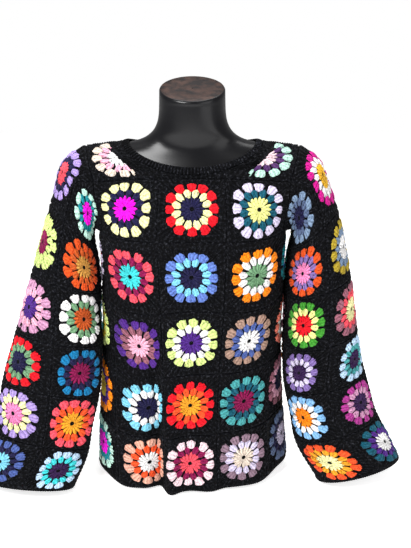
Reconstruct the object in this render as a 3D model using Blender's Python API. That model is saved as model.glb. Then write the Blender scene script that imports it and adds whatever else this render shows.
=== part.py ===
"""A crochet sweater sewn from granny squares, shown on a limbless dress form.

Units are metres, +Z is up and the front faces -Y. The origin is the middle of the form's flat base.
The body is a tube of eight columns of squares, the sleeves are tubes of four, and one square lies over
each shoulder. Every panel starts as a grid on one shared middle surface, so that neighbours meet along
the same seam points, and is then thickened into a wall of its own.
"""

import math
from collections import namedtuple

import bmesh
import bpy
import numpy as np
from mathutils import Vector

# Driving dimensions
WALL = 0.003
SEAM_GAP = 0.00034
CORNER_GAP = 2.4
MITRE_LIMIT = 0.45
PETAL_RELIEF = 0.0016
PETAL_RING_RADIUS = 0.31
PETAL_RING_WIDTH = 0.14
PLAIN_SHARE = 0.45
BAND_RELIEF = 0.0007
SPLITS = 5
OVER_SHOULDER_SPLITS = 10
OUTLINE_POINTS = 181
BAND_SPLITS = 2
FORM_SEGMENTS = 36

FRONT_COLUMNS = 3
HALF_FRONT = FRONT_COLUMNS / 2
HALF_ROUND = 4
BODY_ROWS_BELOW_ARM = 4
SLEEVE_ROWS = 6
SLEEVE_COLUMNS = 4

# The body's level rings, from the hem up to the underarm, one for each row of squares
BodyRing = namedtuple(
    "BodyRing", "row height middle half_width front_depth back_depth front_share squareness"
)
BODY_RINGS = [
    BodyRing(0, 0.005, -0.0045, 0.1915, 0.130, 0.066, 0.325, 2.25),
    BodyRing(1, 0.122, -0.0060, 0.1820, 0.126, 0.072, 0.335, 2.25),
    BodyRing(2, 0.243, -0.0035, 0.1735, 0.120, 0.082, 0.350, 2.30),
    BodyRing(3, 0.366, -0.0005, 0.1715, 0.121, 0.093, 0.375, 2.45),
    BodyRing(4, 0.493, 0.0, 0.1730, 0.117, 0.098, 0.393, 2.80),
]
# How far each row droops beside the front's middle column, on the wearer's right and left
Droop = namedtuple("Droop", "row wearers_right wearers_left")
DROOPS = [
    Droop(0, 0.003, 0.000),
    Droop(1, 0.013, 0.000),
    Droop(2, 0.016, 0.003),
    Droop(3, 0.013, 0.009),
    Droop(4, 0.003, 0.003),
]
DROOP_COLUMN = 1.0
DROOP_WIDTH = 0.65
# On the wearer's right the front's squares are pushed together near the hem
SQUEEZE = 0.10
SQUEEZE_POWER = 1.5

# The hem and rows rise towards the back, because the front runs over the shoulder
HEM_TILT = 0.036
UNDERARM_TILT = 0.030

FOLD_FADE_ROWS = 1.5
# Soft folds in the body: where round the ring, how deep, how wide, and how high up it ends
Fold = namedtuple("Fold", "column depth width high_row")
BODY_FOLDS = [
    Fold(-0.68, -0.021, 0.17, 2.8),
    Fold(-0.38, 0.011, 0.14, 2.4),
    Fold(0.62, -0.007, 0.18, 1.8),
    Fold(-1.45, 0.006, 0.25, 2.2),
    Fold(1.75, -0.006, 0.25, 2.6),
    Fold(-2.35, -0.008, 0.25, 2.8),
    Fold(3.45, -0.010, 0.22, 2.8),
    Fold(-3.40, -0.009, 0.24, 2.4),
    Fold(3.95, 0.006, 0.25, 2.0),
]
HEM_WAVE = 0.004
HEM_WAVE_ROWS = 0.5
HEM_WAVE_CYCLES = 9
HEM_WAVE_START = 0.45

# The yoke line, where the front's chest squares meet the shoulder squares
YOKE_HALF_WIDTH = 0.177
YOKE_HEIGHT = 0.598
YOKE_DEPTH = 0.079
YOKE_SWEEP = 0.019
YOKE_DROP = 0.009
YOKE_BEND_POWER = 2.2
SHOULDER_CROWN = 0.0035
# Which way the chest squares run where they reach the yoke line and, on the back, the top edge
FRONT_CHEST_END = Vector((0, 0.045, 0.088))
BACK_CHEST_END_AT_NECK = Vector((0, -0.030, 0.095))
BACK_CHEST_END_AT_ARM = Vector((0, -0.095, 0.055))
CHEST_START_PULL = 0.85
SLEEVE_OUTWARD_START = 0.7

# The outer side of a shoulder square, from the yoke line over the shoulder to the back panel
ShoulderPoint = namedtuple("ShoulderPoint", "share x y z")
SHOULDER_EDGE = [
    ShoulderPoint(0.00, YOKE_HALF_WIDTH, -YOKE_DEPTH + YOKE_SWEEP, YOKE_HEIGHT - YOKE_DROP),
    ShoulderPoint(0.25, 0.1850, -0.050, 0.6150),
    ShoulderPoint(0.50, 0.1915, -0.030, 0.6360),
    ShoulderPoint(0.75, 0.1955, -0.003, 0.6465),
    ShoulderPoint(1.00, 0.1935, 0.026, 0.6405),
]
# Where the shoulder square's back edge meets the neckband, round from the front's centre
BACK_SEAM_TURN = math.radians(106)
# The back panel's columns up to this one end at the neckband, and the rest at the shoulder square
BACK_NECK_COLUMN = 0.9
BACK_SEAM_STEPS = 3

# The neckband's two edges: half width, front and back depth, and height at front, side and back
NeckRing = namedtuple("NeckRing", "half_width front_depth back_depth front_height side_height back_height")
NECK_EDGE = NeckRing(0.117, 0.0735, 0.070, 0.6185, 0.6580, 0.644)
BAND_FOOT = NeckRing(0.130, 0.0775, 0.083, 0.6050, 0.6545, 0.631)
NECK_DIP_POWER = 1.35
NECK_PLAN_POWER = 0.80

# Sleeve rings: the points at the outer and inner side, the half depth, how far the seams turn forward,
# how much lower the front of the ring hangs, and how square the ring is
SleeveRing = namedtuple(
    "SleeveRing",
    "row outer_x outer_y outer_z inner_x inner_y inner_z half_depth turn_deg front_drop squareness",
)
WEARERS_RIGHT_SLEEVE = [
    SleeveRing(0.50, 0.2475, 0.000, 0.600, 0.1890, -0.002, 0.485, 0.072, 20, 0.000, 2.2),
    SleeveRing(1.00, 0.2640, -0.006, 0.542, 0.1835, -0.014, 0.454, 0.074, 30, 0.003, 2.4),
    SleeveRing(2.00, 0.2990, -0.022, 0.414, 0.1765, -0.042, 0.377, 0.070, 44, 0.003, 2.3),
    SleeveRing(3.00, 0.3330, -0.040, 0.306, 0.1750, -0.060, 0.281, 0.066, 48, 0.005, 2.2),
    SleeveRing(4.00, 0.3620, -0.060, 0.211, 0.1810, -0.076, 0.183, 0.058, 51, 0.006, 2.1),
    SleeveRing(5.00, 0.3780, -0.084, 0.113, 0.1990, -0.100, 0.085, 0.050, 51, 0.004, 2.0),
    SleeveRing(6.00, 0.4080, -0.098, 0.018, 0.2310, -0.122, 0.011, 0.048, 48, 0.000, 2.0),
]
WEARERS_LEFT_SLEEVE = [
    SleeveRing(0.50, 0.2455, 0.000, 0.598, 0.1890, -0.002, 0.485, 0.072, 20, 0.000, 2.2),
    SleeveRing(1.00, 0.2680, -0.002, 0.532, 0.1835, -0.014, 0.454, 0.074, 24, 0.003, 2.4),
    SleeveRing(2.00, 0.2910, -0.006, 0.414, 0.1790, -0.034, 0.370, 0.075, 24, 0.009, 2.4),
    SleeveRing(3.00, 0.3090, -0.014, 0.310, 0.1775, -0.046, 0.277, 0.073, 28, 0.013, 2.3),
    SleeveRing(4.00, 0.3280, -0.025, 0.222, 0.1805, -0.058, 0.190, 0.070, 38, 0.012, 2.2),
    SleeveRing(5.00, 0.3600, -0.034, 0.130, 0.1980, -0.080, 0.094, 0.062, 42, 0.008, 2.1),
    SleeveRing(6.00, 0.4060, -0.028, 0.030, 0.2470, -0.098, 0.011, 0.056, 42, 0.000, 2.0),
]
SLEEVE_TABLE_START = 0.5
# Elbow and cuff creases of a sleeve: row, how deep, how tall, and the side they face
Crease = namedtuple("Crease", "row depth height facing_deg spread_deg")
SLEEVE_CREASES = [
    Crease(0.75, -0.006, 0.30, 130, 60),
    Crease(2.45, -0.004, 0.35, 170, 60),
    Crease(4.60, -0.005, 0.40, 190, 70),
    Crease(4.90, -0.004, 0.35, 40, 60),
]

# The dress form, from its flat base to the cut across its neck
FormRing = namedtuple("FormRing", "height half_width front_depth back_depth squareness")
FORM_RINGS = [
    FormRing(0.000, 0.146, 0.090, 0.036, 2.2),
    FormRing(0.004, 0.150, 0.094, 0.040, 2.2),
    FormRing(0.060, 0.158, 0.101, 0.043, 2.2),
    FormRing(0.140, 0.150, 0.096, 0.046, 2.2),
    FormRing(0.240, 0.124, 0.086, 0.052, 2.1),
    FormRing(0.330, 0.132, 0.094, 0.066, 2.1),
    FormRing(0.410, 0.146, 0.106, 0.078, 2.1),
    FormRing(0.470, 0.153, 0.104, 0.083, 2.1),
    FormRing(0.520, 0.162, 0.093, 0.082, 2.1),
    FormRing(0.560, 0.174, 0.080, 0.075, 2.0),
    FormRing(0.590, 0.182, 0.070, 0.066, 1.9),
    FormRing(0.613, 0.183, 0.061, 0.059, 1.8),
    FormRing(0.628, 0.178, 0.055, 0.054, 1.7),
    FormRing(0.639, 0.168, 0.052, 0.051, 1.6),
    FormRing(0.6465, 0.1535, 0.051, 0.050, 1.5),
    FormRing(0.6515, 0.1335, 0.051, 0.051, 1.5),
    FormRing(0.6565, 0.108, 0.052, 0.053, 1.6),
    FormRing(0.663, 0.089, 0.053, 0.054, 1.8),
    FormRing(0.674, 0.0745, 0.056, 0.056, 2.0),
    FormRing(0.689, 0.0660, 0.058, 0.058, 2.0),
    FormRing(0.706, 0.0625, 0.059, 0.059, 2.0),
    FormRing(0.725, 0.0615, 0.0595, 0.0595, 2.0),
]
NECK_CUT_HEIGHT = 0.751
NECK_CUT_SLOPE = 0.33
NECK_CUT_RADIUS = 0.0600
NECK_CUT_BEVEL = 0.003

Colour = namedtuple("Colour", "red green blue roughness")
YARN_BLACK = Colour(0.012, 0.012, 0.015, 0.85)
FORM_BLACK = Colour(0.010, 0.010, 0.011, 0.22)


def spline(rows, key, at):
    """A smooth curve through one named column of a table, at a place along another of its columns."""
    places = [getattr(r, key[0]) for r in rows]
    values = [getattr(r, key[1]) for r in rows]
    at = min(max(at, places[0]), places[-1])
    i = min(int(np.searchsorted(places, at, side="right")) - 1, len(rows) - 2)
    t = (at - places[i]) / (places[i + 1] - places[i])

    def slope(j):
        low, high = max(j - 1, 0), min(j + 1, len(rows) - 1)
        return (values[high] - values[low]) / (places[high] - places[low])

    step = places[i + 1] - places[i]
    a, b = values[i], values[i + 1]
    ta, tb = slope(i) * step, slope(i + 1) * step
    return (
        (2 * t**3 - 3 * t**2 + 1) * a
        + (t**3 - 2 * t**2 + t) * ta
        + (3 * t**2 - 2 * t**3) * b
        + (t**3 - t**2) * tb
    )


def signed_power(value, power):
    return math.copysign(abs(value) ** power, value)


def bell(distance):
    return math.exp(-distance * distance)


def body_place(column, row):
    """A point of the body's middle surface below the arms. Column 0 is the front's centre, 4 the back's."""
    middle = spline(BODY_RINGS, ("row", "middle"), row)
    half_width = spline(BODY_RINGS, ("row", "half_width"), row)
    front = spline(BODY_RINGS, ("row", "front_depth"), row)
    back = spline(BODY_RINGS, ("row", "back_depth"), row)
    share = spline(BODY_RINGS, ("row", "front_share"), row)
    height = spline(BODY_RINGS, ("row", "height"), row)
    power = 2 / spline(BODY_RINGS, ("row", "squareness"), row)
    turn = np.linspace(0, math.pi, OUTLINE_POINTS)
    x = half_width * np.sin(turn) ** power
    y = np.where(turn < math.pi / 2, -front, back) * np.abs(np.cos(turn)) ** power
    travel = np.concatenate([[0], np.cumsum(np.hypot(np.diff(x), np.diff(y)))])
    half = travel[-1]
    column = (column + HALF_ROUND) % (2 * HALF_ROUND) - HALF_ROUND
    if column < 0:
        share *= 1 - SQUEEZE * (1 - row / BODY_ROWS_BELOW_ARM) ** SQUEEZE_POWER
    front_column = share * 2 * half / FRONT_COLUMNS
    other_column = (half - HALF_FRONT * front_column) / (HALF_ROUND - HALF_FRONT)
    along = abs(column) * front_column
    if abs(column) > HALF_FRONT:
        along = HALF_FRONT * front_column + (abs(column) - HALF_FRONT) * other_column
    px = float(np.interp(along, travel, x)) * (1 if column >= 0 else -1)
    py = float(np.interp(along, travel, y))
    outward = Vector((px / half_width**2, py / (front if py < 0 else back) ** 2, 0)).normalized()
    push = fold_push(column, row)
    wave = (1 - math.cos(math.pi * (column + HEM_WAVE_START) * HEM_WAVE_CYCLES / HALF_ROUND)) / 2
    lift = HEM_WAVE * wave * bell(row / HEM_WAVE_ROWS)
    tilt = HEM_TILT + (UNDERARM_TILT - HEM_TILT) * row / BODY_ROWS_BELOW_ARM
    lift += tilt * (py + front) / (front + back)
    side = "wearers_right" if column < 0 else "wearers_left"
    lift -= spline(DROOPS, ("row", side), row) * bell((abs(column) - DROOP_COLUMN) / DROOP_WIDTH)
    return Vector((middle + px, py, height + lift)) + outward * push


def fold_push(column, row):
    total = 0.0
    for fold in BODY_FOLDS:
        away = (column - fold.column + HALF_ROUND) % (2 * HALF_ROUND) - HALF_ROUND
        if row < fold.high_row:
            fade = min(1.0, (fold.high_row - row) / FOLD_FADE_ROWS)
            total += fold.depth * bell(away / fold.width) * fade * fade * (3 - 2 * fade)
    return total


def yoke_place(column):
    """A point of the front's yoke line."""
    bend = (abs(column) / HALF_FRONT) ** YOKE_BEND_POWER
    x = YOKE_HALF_WIDTH * column / HALF_FRONT
    return Vector((x, -YOKE_DEPTH + YOKE_SWEEP * bend, YOKE_HEIGHT - YOKE_DROP * bend))


def back_top_place(column):
    """A point of the back panel's top edge, at a column counted from the back's centre towards -X."""
    away = abs(column)
    if away <= BACK_NECK_COLUMN + 1e-6:
        share = column / BACK_NECK_COLUMN
        return neck_place(BAND_FOOT, math.pi + share * (math.pi - BACK_SEAM_TURN))
    t = (away - BACK_NECK_COLUMN) / (HALF_FRONT - BACK_NECK_COLUMN)
    point = neck_place(BAND_FOOT, BACK_SEAM_TURN).lerp(shoulder_edge(1.0), t)
    return mirror_x(point) if column > 0 else point


def chest_place(column, rise, is_front):
    """A point of the row of squares above the underarm, where rise goes from 0 to 1."""
    offset = 0 if is_front else HALF_ROUND
    low = body_place(column + offset, BODY_ROWS_BELOW_ARM)
    below = body_place(column + offset, BODY_ROWS_BELOW_ARM - 1 / 4)
    start = (low - below) * 4 * CHEST_START_PULL
    if is_front:
        return hermite(low, start, yoke_place(column), FRONT_CHEST_END, rise)
    end = BACK_CHEST_END_AT_NECK.lerp(BACK_CHEST_END_AT_ARM, (column / HALF_FRONT) ** 2)
    return hermite(low, start, back_top_place(column), end, rise)


def hermite(low, start, high, end, t):
    """A point between two places that leaves the first and reaches the second in given directions."""
    return (
        low * (2 * t**3 - 3 * t**2 + 1)
        + start * (t**3 - 2 * t**2 + t)
        + high * (3 * t**2 - 2 * t**3)
        + end * (t**3 - t**2)
    )


def neck_place(ring, turn):
    """A point of a neckband edge, at an angle from the front's centre towards +X."""
    c, s = math.cos(turn), math.sin(turn)
    depth = ring.front_depth if c > 0 else ring.back_depth
    end_height = ring.front_height if c > 0 else ring.back_height
    x = ring.half_width * s
    y = -depth * signed_power(c, NECK_PLAN_POWER)
    z = ring.side_height - (ring.side_height - end_height) * abs(c) ** NECK_DIP_POWER
    return Vector((x, y, z))


FILL_TURN = math.asin(YOKE_HALF_WIDTH / FRONT_COLUMNS / BAND_FOOT.half_width)


def shoulder_inner(step):
    """The shoulder square's neck side, step by step from the yoke line along the neckband's foot."""
    if step == 0:
        return yoke_place(0.5)
    t = (step - 1) / (OVER_SHOULDER_SPLITS - 1)
    return neck_place(BAND_FOOT, FILL_TURN + t * (BACK_SEAM_TURN - FILL_TURN))


def shoulder_edge(share):
    return Vector([spline(SHOULDER_EDGE, ("share", axis), share) for axis in "xyz"])


def shoulder_place(step, across):
    """A point of a shoulder square. Its back edge is short, since the neckband cuts that corner off."""
    along = step / OVER_SHOULDER_SPLITS
    if step == OVER_SHOULDER_SPLITS:
        short = BACK_SEAM_STEPS / SPLITS
        across = max(0.0, (across - 1 + short) / short)
    inner, outer = shoulder_inner(step), shoulder_edge(along)
    crown = SHOULDER_CROWN * 4 * across * (1 - across) * math.sin(math.pi * along)
    point = inner.lerp(outer, across) + Vector((0, 0, crown))
    straight = yoke_place(0.5).lerp(yoke_place(HALF_FRONT), across)
    curved = yoke_place(0.5 + across)
    return point + (curved - straight) * max(0.0, 1 - 2 * along) ** 1.5


def armhole_place(column, is_right):
    """The seam round an armhole, from +X: column 0 to 1 is over the shoulder, then front, underarm, back."""
    side, t = divmod(column % SLEEVE_COLUMNS, 1.0)
    if side == 0:
        return shoulder_edge(1 - t)
    sign = -1 if is_right else 1
    if side == 1:
        point = chest_place(sign * HALF_FRONT, 1 - t, True)
    elif side == 2:
        point = body_place(sign * (HALF_FRONT + t), BODY_ROWS_BELOW_ARM)
    else:
        point = chest_place(-sign * HALF_FRONT, t, False)
    return mirror_x(point) if is_right else point


def sleeve_ring_place(table, column, row):
    """A point of the sleeve's middle surface on the ellipse of one row."""
    def read(name):
        return spline(table, ("row", name), row)

    middle = sleeve_middle(table, row)
    half_out = Vector([read("outer_" + axis) - read("inner_" + axis) for axis in "xyz"]) / 2
    ahead = sleeve_middle(table, row + 1 / SPLITS) - sleeve_middle(table, row - 1 / SPLITS)
    half_front = ahead.cross(half_out).normalized() * read("half_depth")
    turn = math.radians(read("turn_deg") + 90 * (column - 0.5))
    half_front.z -= read("front_drop")
    power = 2 / read("squareness")
    spoke = half_out * signed_power(math.cos(turn), power) + half_front * signed_power(math.sin(turn), power)
    return middle + spoke + spoke.normalized() * crease_push(math.degrees(turn), row)


def crease_push(facing_deg, row):
    total = 0.0
    for crease in SLEEVE_CREASES:
        away = (facing_deg - crease.facing_deg + 180) % 360 - 180
        total += crease.depth * bell((row - crease.row) / crease.height) * bell(away / crease.spread_deg)
    return total


def sleeve_middle(table, row):
    def read(name):
        return spline(table, ("row", name), row)

    return Vector([read("outer_" + axis) + read("inner_" + axis) for axis in "xyz"]) / 2


def sleeve_place(table, column, row, is_right):
    """A point of the sleeve, which leaves the armhole seam and becomes an ellipse half a row on."""
    first = SLEEVE_TABLE_START
    if row >= first:
        return sleeve_ring_place(table, column, row)
    t = row / first
    seam = armhole_place(column, is_right)
    ring = sleeve_ring_place(table, column, first)
    later = sleeve_ring_place(table, column, first + 1 / 10)
    end = (later - ring) * 10 * first
    chord = ring - seam
    start = chord.lerp(Vector((chord.length, 0, 0)), SLEEVE_OUTWARD_START)
    return hermite(seam, start, ring, end, t)


def petal_relief(across, along):
    """How far the crochet stands out of the wall at a place in a square: most in the ring of petals."""
    s, t = across % 1.0 - 0.5, along % 1.0 - 0.5
    if max(abs(s), abs(t)) > 0.49:
        return 0.0
    ring = bell((math.hypot(s, t) - PETAL_RING_RADIUS) / PETAL_RING_WIDTH)
    return PETAL_RELIEF * (PLAIN_SHARE + (1 - PLAIN_SHARE) * ring)


def mirror_x(point):
    return Vector((-point.x, point.y, point.z))


class Cloth:
    """The middle surface of the whole garment, as one mesh whose faces know which panel they belong to."""

    def __init__(self):
        self.mesh = bmesh.new()
        self.panel = self.mesh.faces.layers.int.new("panel")
        self.relief = self.mesh.verts.layers.float.new("relief")
        self.panels = []

    def add(self, name, columns, rows, place, relief, inside_out=False):
        """Adds a grid of places. Columns run to the wearer's left on the front and rows run up."""
        if name not in self.panels:
            self.panels.append(name)
        number = self.panels.index(name)
        grid = []
        for row in rows:
            line = []
            for column in columns:
                vert = self.mesh.verts.new(place(column, row))
                vert[self.relief] = relief(column, row)
                line.append(vert)
            grid.append(line)
        for low, high in zip(grid, grid[1:]):
            for i in range(len(columns) - 1):
                corners = [low[i], low[i + 1], high[i + 1], high[i]]
                if inside_out:
                    corners.reverse()
                face = self.mesh.faces.new(corners)
                face[self.panel] = number

    def finish(self):
        bmesh.ops.remove_doubles(self.mesh, verts=self.mesh.verts, dist=0.00002)
        self.mesh.normal_update()

    def wall(self, name, collection, material):
        """Thickens one panel into a closed wall, drawn back by half a seam gap along its edges."""
        number = self.panels.index(name)
        faces = [f for f in self.mesh.faces if f[self.panel] == number]
        shift = edge_shift(faces, self.panel)
        made = bmesh.new()
        outer, inner = {}, {}
        for vert in {v for f in faces for v in f.verts}:
            edge = shift.get(vert, Vector())
            raised = 0.0 if vert in shift else vert[self.relief]
            own = panel_normal(vert, number, self.panel)
            away = seam_normal(vert, self.panel)
            half = WALL / 2 / max(own.dot(away), MITRE_LIMIT)
            outer[vert] = made.verts.new(vert.co + edge + away * (half + raised))
            inner[vert] = made.verts.new(vert.co + edge - away * half)
        for face in faces:
            made.faces.new([outer[v] for v in face.verts])
            made.faces.new([inner[v] for v in reversed(face.verts)])
            for loop in face.loops:
                if is_border(loop.edge, number, self.panel):
                    a, b = loop.vert, loop.link_loop_next.vert
                    made.faces.new([outer[b], outer[a], inner[a], inner[b]])
        return solid_object(name, made, collection, material)


def is_border(edge, number, panel_layer):
    return sum(1 for f in edge.link_faces if f[panel_layer] == number) == 1


def panel_normal(vert, number, panel_layer):
    return sum((f.normal for f in vert.link_faces if f[panel_layer] == number), Vector()).normalized()


def seam_normal(vert, panel_layer):
    """The direction halfway between the panels that meet at a vertex."""
    numbers = sorted({f[panel_layer] for f in vert.link_faces})
    return sum((panel_normal(vert, n, panel_layer) for n in numbers), Vector()).normalized()


def edge_shift(faces, panel_layer):
    """For each vertex on the panel's border, the small step inwards that leaves the seam gap."""
    inside = set(faces)
    pulls = {}
    for face in faces:
        for loop in face.loops:
            if sum(1 for f in loop.edge.link_faces if f in inside) != 1:
                continue
            a, b = loop.vert, loop.link_loop_next.vert
            inward = face.normal.cross((b.co - a.co).normalized()).normalized()
            pulls.setdefault(a, []).append(inward)
            pulls.setdefault(b, []).append(inward)
    shift = {}
    for vert, ways in pulls.items():
        total = sum(ways, Vector())
        corner = min(len(ways) / total.length, 1.6)
        away = seam_normal(vert, panel_layer)
        total -= away * total.dot(away)
        meeting = len({f[panel_layer] for f in vert.link_faces})
        shift[vert] = total.normalized() * (SEAM_GAP / 2) * (corner if meeting < 3 else CORNER_GAP)
    return shift


def solid_object(name, made, collection, material):
    bmesh.ops.triangulate(made, faces=made.faces, quad_method="SHORT_EDGE")
    bmesh.ops.recalc_face_normals(made, faces=made.faces)
    mesh = bpy.data.meshes.new(name)
    made.to_mesh(mesh)
    made.free()
    mesh.shade_smooth()
    mesh.set_sharp_from_angle(angle=math.radians(40))
    mesh.materials.append(material)
    obj = bpy.data.objects.new(name, mesh)
    collection.objects.link(obj)
    return obj


def plain_material(name, colour):
    material = bpy.data.materials.new(name)
    material.use_nodes = True
    shader = material.node_tree.nodes["Principled BSDF"]
    shader.inputs["Base Color"].default_value = (colour.red, colour.green, colour.blue, 1)
    shader.inputs["Roughness"].default_value = colour.roughness
    shader.inputs["Metallic"].default_value = 0
    return material


def steps(low, high, splits):
    return [low + (high - low) * i / splits for i in range(splits + 1)]


def no_relief(_column, _row):
    return 0.0


def add_body(cloth):
    """The front and back panels and the two side strips."""
    rows = steps(0, BODY_ROWS_BELOW_ARM, BODY_ROWS_BELOW_ARM * SPLITS)
    for name, low in (("front", -HALF_FRONT), ("back", HALF_ROUND - HALF_FRONT)):
        columns = steps(low, low + FRONT_COLUMNS, FRONT_COLUMNS * SPLITS)
        cloth.add(name, columns, rows, body_place, lambda c, r: petal_relief(c + 0.5, r))
    for name, low in (("side_left", HALF_FRONT), ("side_right", -HALF_FRONT - 1)):
        columns = steps(low, low + 1, SPLITS)
        cloth.add(name, columns, rows, body_place, lambda c, r: petal_relief(c + 0.5, r))
    for name, is_front in (("front", True), ("back", False)):
        columns = steps(-HALF_FRONT, HALF_FRONT, FRONT_COLUMNS * SPLITS)
        cloth.add(
            name,
            columns,
            steps(0, 1, SPLITS),
            lambda c, r, f=is_front: chest_place(c, r, f),
            lambda c, r: petal_relief(c + 0.5, r),
        )


def add_neck_fill(cloth):
    """Plain rows of crochet between the front's middle square and the neckband."""
    def place(column, rise):
        return yoke_place(column).lerp(neck_place(BAND_FOOT, 2 * column * FILL_TURN), rise)

    cloth.add("neck_fill_front", steps(-0.5, 0.5, SPLITS), [0, 1], place, no_relief)


def add_shoulders(cloth):
    across = steps(0, 1, SPLITS)
    along = range(OVER_SHOULDER_SPLITS + 1)

    def relief(t, step):
        on_edge = step in (0, OVER_SHOULDER_SPLITS)
        return 0.0 if on_edge else petal_relief(t, step / OVER_SHOULDER_SPLITS)

    def left(across_share, step):
        return shoulder_place(step, across_share)

    def right(across_share, step):
        return mirror_x(left(across_share, step))

    cloth.add("shoulder_left", across, along, left, relief)
    cloth.add("shoulder_right", across, along, right, relief, True)


def add_neckband(cloth):
    """The ribbed band: its turns match the seam points of the fills and the shoulder squares."""
    front = steps(-FILL_TURN, FILL_TURN, SPLITS)
    side = steps(FILL_TURN, BACK_SEAM_TURN, OVER_SHOULDER_SPLITS - 1)
    back_steps = round(2 * BACK_NECK_COLUMN * SPLITS)
    back = steps(BACK_SEAM_TURN, 2 * math.pi - BACK_SEAM_TURN, back_steps)
    other_side = [2 * math.pi - turn for turn in reversed(side)]
    turns = front + side[1:] + back[1:] + other_side[1:]

    def place(turn, rise):
        return neck_place(BAND_FOOT, turn).lerp(neck_place(NECK_EDGE, turn), rise)

    def relief(_turn, rise):
        return BAND_RELIEF * math.sin(math.pi * rise)

    cloth.add("neckband", turns, steps(0, 1, BAND_SPLITS), place, relief)


def add_sleeves(cloth):
    """Each sleeve is a tube of four columns, with finer steps in the column that meets the shoulder."""
    columns = steps(0, 1, OVER_SHOULDER_SPLITS)
    columns += [c for start in (1, 2, 3) for c in steps(start, start + 1, SPLITS)[1:]]
    rows = steps(0, SLEEVE_ROWS, SLEEVE_ROWS * SPLITS)

    def left(column, row):
        return sleeve_place(WEARERS_LEFT_SLEEVE, column, row, False)

    def right(column, row):
        return mirror_x(sleeve_place(WEARERS_RIGHT_SLEEVE, column, row, True))

    def relief(column, row):
        return petal_relief(column, row) * min(1.0, row / SLEEVE_TABLE_START)

    cloth.add("sleeve_left", columns, rows, left, relief)
    cloth.add("sleeve_right", columns, rows, right, relief, True)


def form_ring(half_width, front_depth, back_depth, squareness, height_at):
    ring = []
    for i in range(FORM_SEGMENTS):
        turn = 2 * math.pi * i / FORM_SEGMENTS
        s, c = math.sin(turn), math.cos(turn)
        x = half_width * signed_power(s, 2 / squareness)
        y = -(front_depth if c > 0 else back_depth) * signed_power(c, 2 / squareness)
        ring.append(Vector((x, y, height_at(y))))
    return ring


def make_dress_form(collection, material):
    """A smooth torso lofted through level rings, with a flat base and a sloping flat cut at the neck."""
    rings = [form_ring(*ring[1:], lambda _y, z=ring.height: z) for ring in FORM_RINGS]
    for inset in (0.0, NECK_CUT_BEVEL):
        radius = NECK_CUT_RADIUS - inset
        low = NECK_CUT_BEVEL - inset

        def cut(y, low=low):
            return NECK_CUT_HEIGHT - low + NECK_CUT_SLOPE * y

        rings.append(form_ring(radius + 0.001, radius, radius, 2.0, cut))
    made = bmesh.new()
    made_rings = [[made.verts.new(p) for p in ring] for ring in rings]
    for low, high in zip(made_rings, made_rings[1:]):
        for i in range(FORM_SEGMENTS):
            j = (i + 1) % FORM_SEGMENTS
            made.faces.new([low[i], low[j], high[j], high[i]])
    made.faces.new(list(reversed(made_rings[0])))
    made.faces.new(made_rings[-1])
    return solid_object("dress_form", made, collection, material)


def main():
    for obj in list(bpy.data.objects):
        bpy.data.objects.remove(obj)
    collection = bpy.data.collections.new("Patchwork sweater on a dress form")
    bpy.context.scene.collection.children.link(collection)
    yarn = plain_material("black_yarn", YARN_BLACK)
    gloss = plain_material("black_gloss", FORM_BLACK)
    cloth = Cloth()
    add_body(cloth)
    add_neck_fill(cloth)
    add_shoulders(cloth)
    add_neckband(cloth)
    add_sleeves(cloth)
    cloth.finish()
    for name in cloth.panels:
        cloth.wall(name, collection, yarn)
    cloth.mesh.free()
    make_dress_form(collection, gloss)


main()
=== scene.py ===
"""How the patchwork sweater looks: crochet panels, yarns, the glossy dress form, light and camera.

Every panel is laid out on its own middle surface, which is the one that its CAD solid was thickened from.
Lengths are metres. A column or row of 1 is one crochet square.
"""

import math
from collections import namedtuple

import bmesh
import bpy
import numpy as np
from mathutils import Euler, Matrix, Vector


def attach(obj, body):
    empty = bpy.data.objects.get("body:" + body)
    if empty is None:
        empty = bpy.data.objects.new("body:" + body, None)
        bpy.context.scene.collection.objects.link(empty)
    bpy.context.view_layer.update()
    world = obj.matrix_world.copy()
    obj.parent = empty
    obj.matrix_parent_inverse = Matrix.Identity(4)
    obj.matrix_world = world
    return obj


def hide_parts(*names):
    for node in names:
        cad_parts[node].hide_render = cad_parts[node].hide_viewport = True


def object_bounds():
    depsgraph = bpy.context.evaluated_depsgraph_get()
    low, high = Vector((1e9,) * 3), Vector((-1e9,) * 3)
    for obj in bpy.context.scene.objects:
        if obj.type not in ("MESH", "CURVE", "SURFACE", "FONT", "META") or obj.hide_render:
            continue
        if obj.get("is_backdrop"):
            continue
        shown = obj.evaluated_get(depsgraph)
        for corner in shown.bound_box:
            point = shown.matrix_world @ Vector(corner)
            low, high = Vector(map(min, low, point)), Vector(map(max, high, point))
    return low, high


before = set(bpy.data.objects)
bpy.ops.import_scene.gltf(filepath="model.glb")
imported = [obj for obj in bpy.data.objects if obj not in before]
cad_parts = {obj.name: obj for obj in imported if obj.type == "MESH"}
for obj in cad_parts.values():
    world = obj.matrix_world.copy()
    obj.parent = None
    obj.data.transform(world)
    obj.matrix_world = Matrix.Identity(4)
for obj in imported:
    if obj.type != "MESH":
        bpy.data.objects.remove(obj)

CAD_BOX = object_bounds()


def table(columns, rows):
    """Rows of numbers with a name for each column."""
    kind = namedtuple("Row", columns)
    return [kind(*row) for row in rows]


# The photograph's height in pixels, and the camera fitted to it
IMAGE_HEIGHT = 548
CAMERA_PLACE = (0.024, -1.529, 0.839)
CAMERA_PITCH_DEG = 16.0
FOCAL_PIXELS = 824.0
SENSOR_MM = 36.0

# Counts of squares, as in the cut, and how finely they are divided
FRONT_COLUMNS = 3
HALF_FRONT = FRONT_COLUMNS / 2
HALF_ROUND = 4
BODY_ROWS_BELOW_ARM = 4
SLEEVE_COLUMNS = 4
SPLITS = 5
OVER_SHOULDER_SPLITS = 10
OUTLINE_POINTS = 181
GRID_PER_SQUARE = 16

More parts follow.
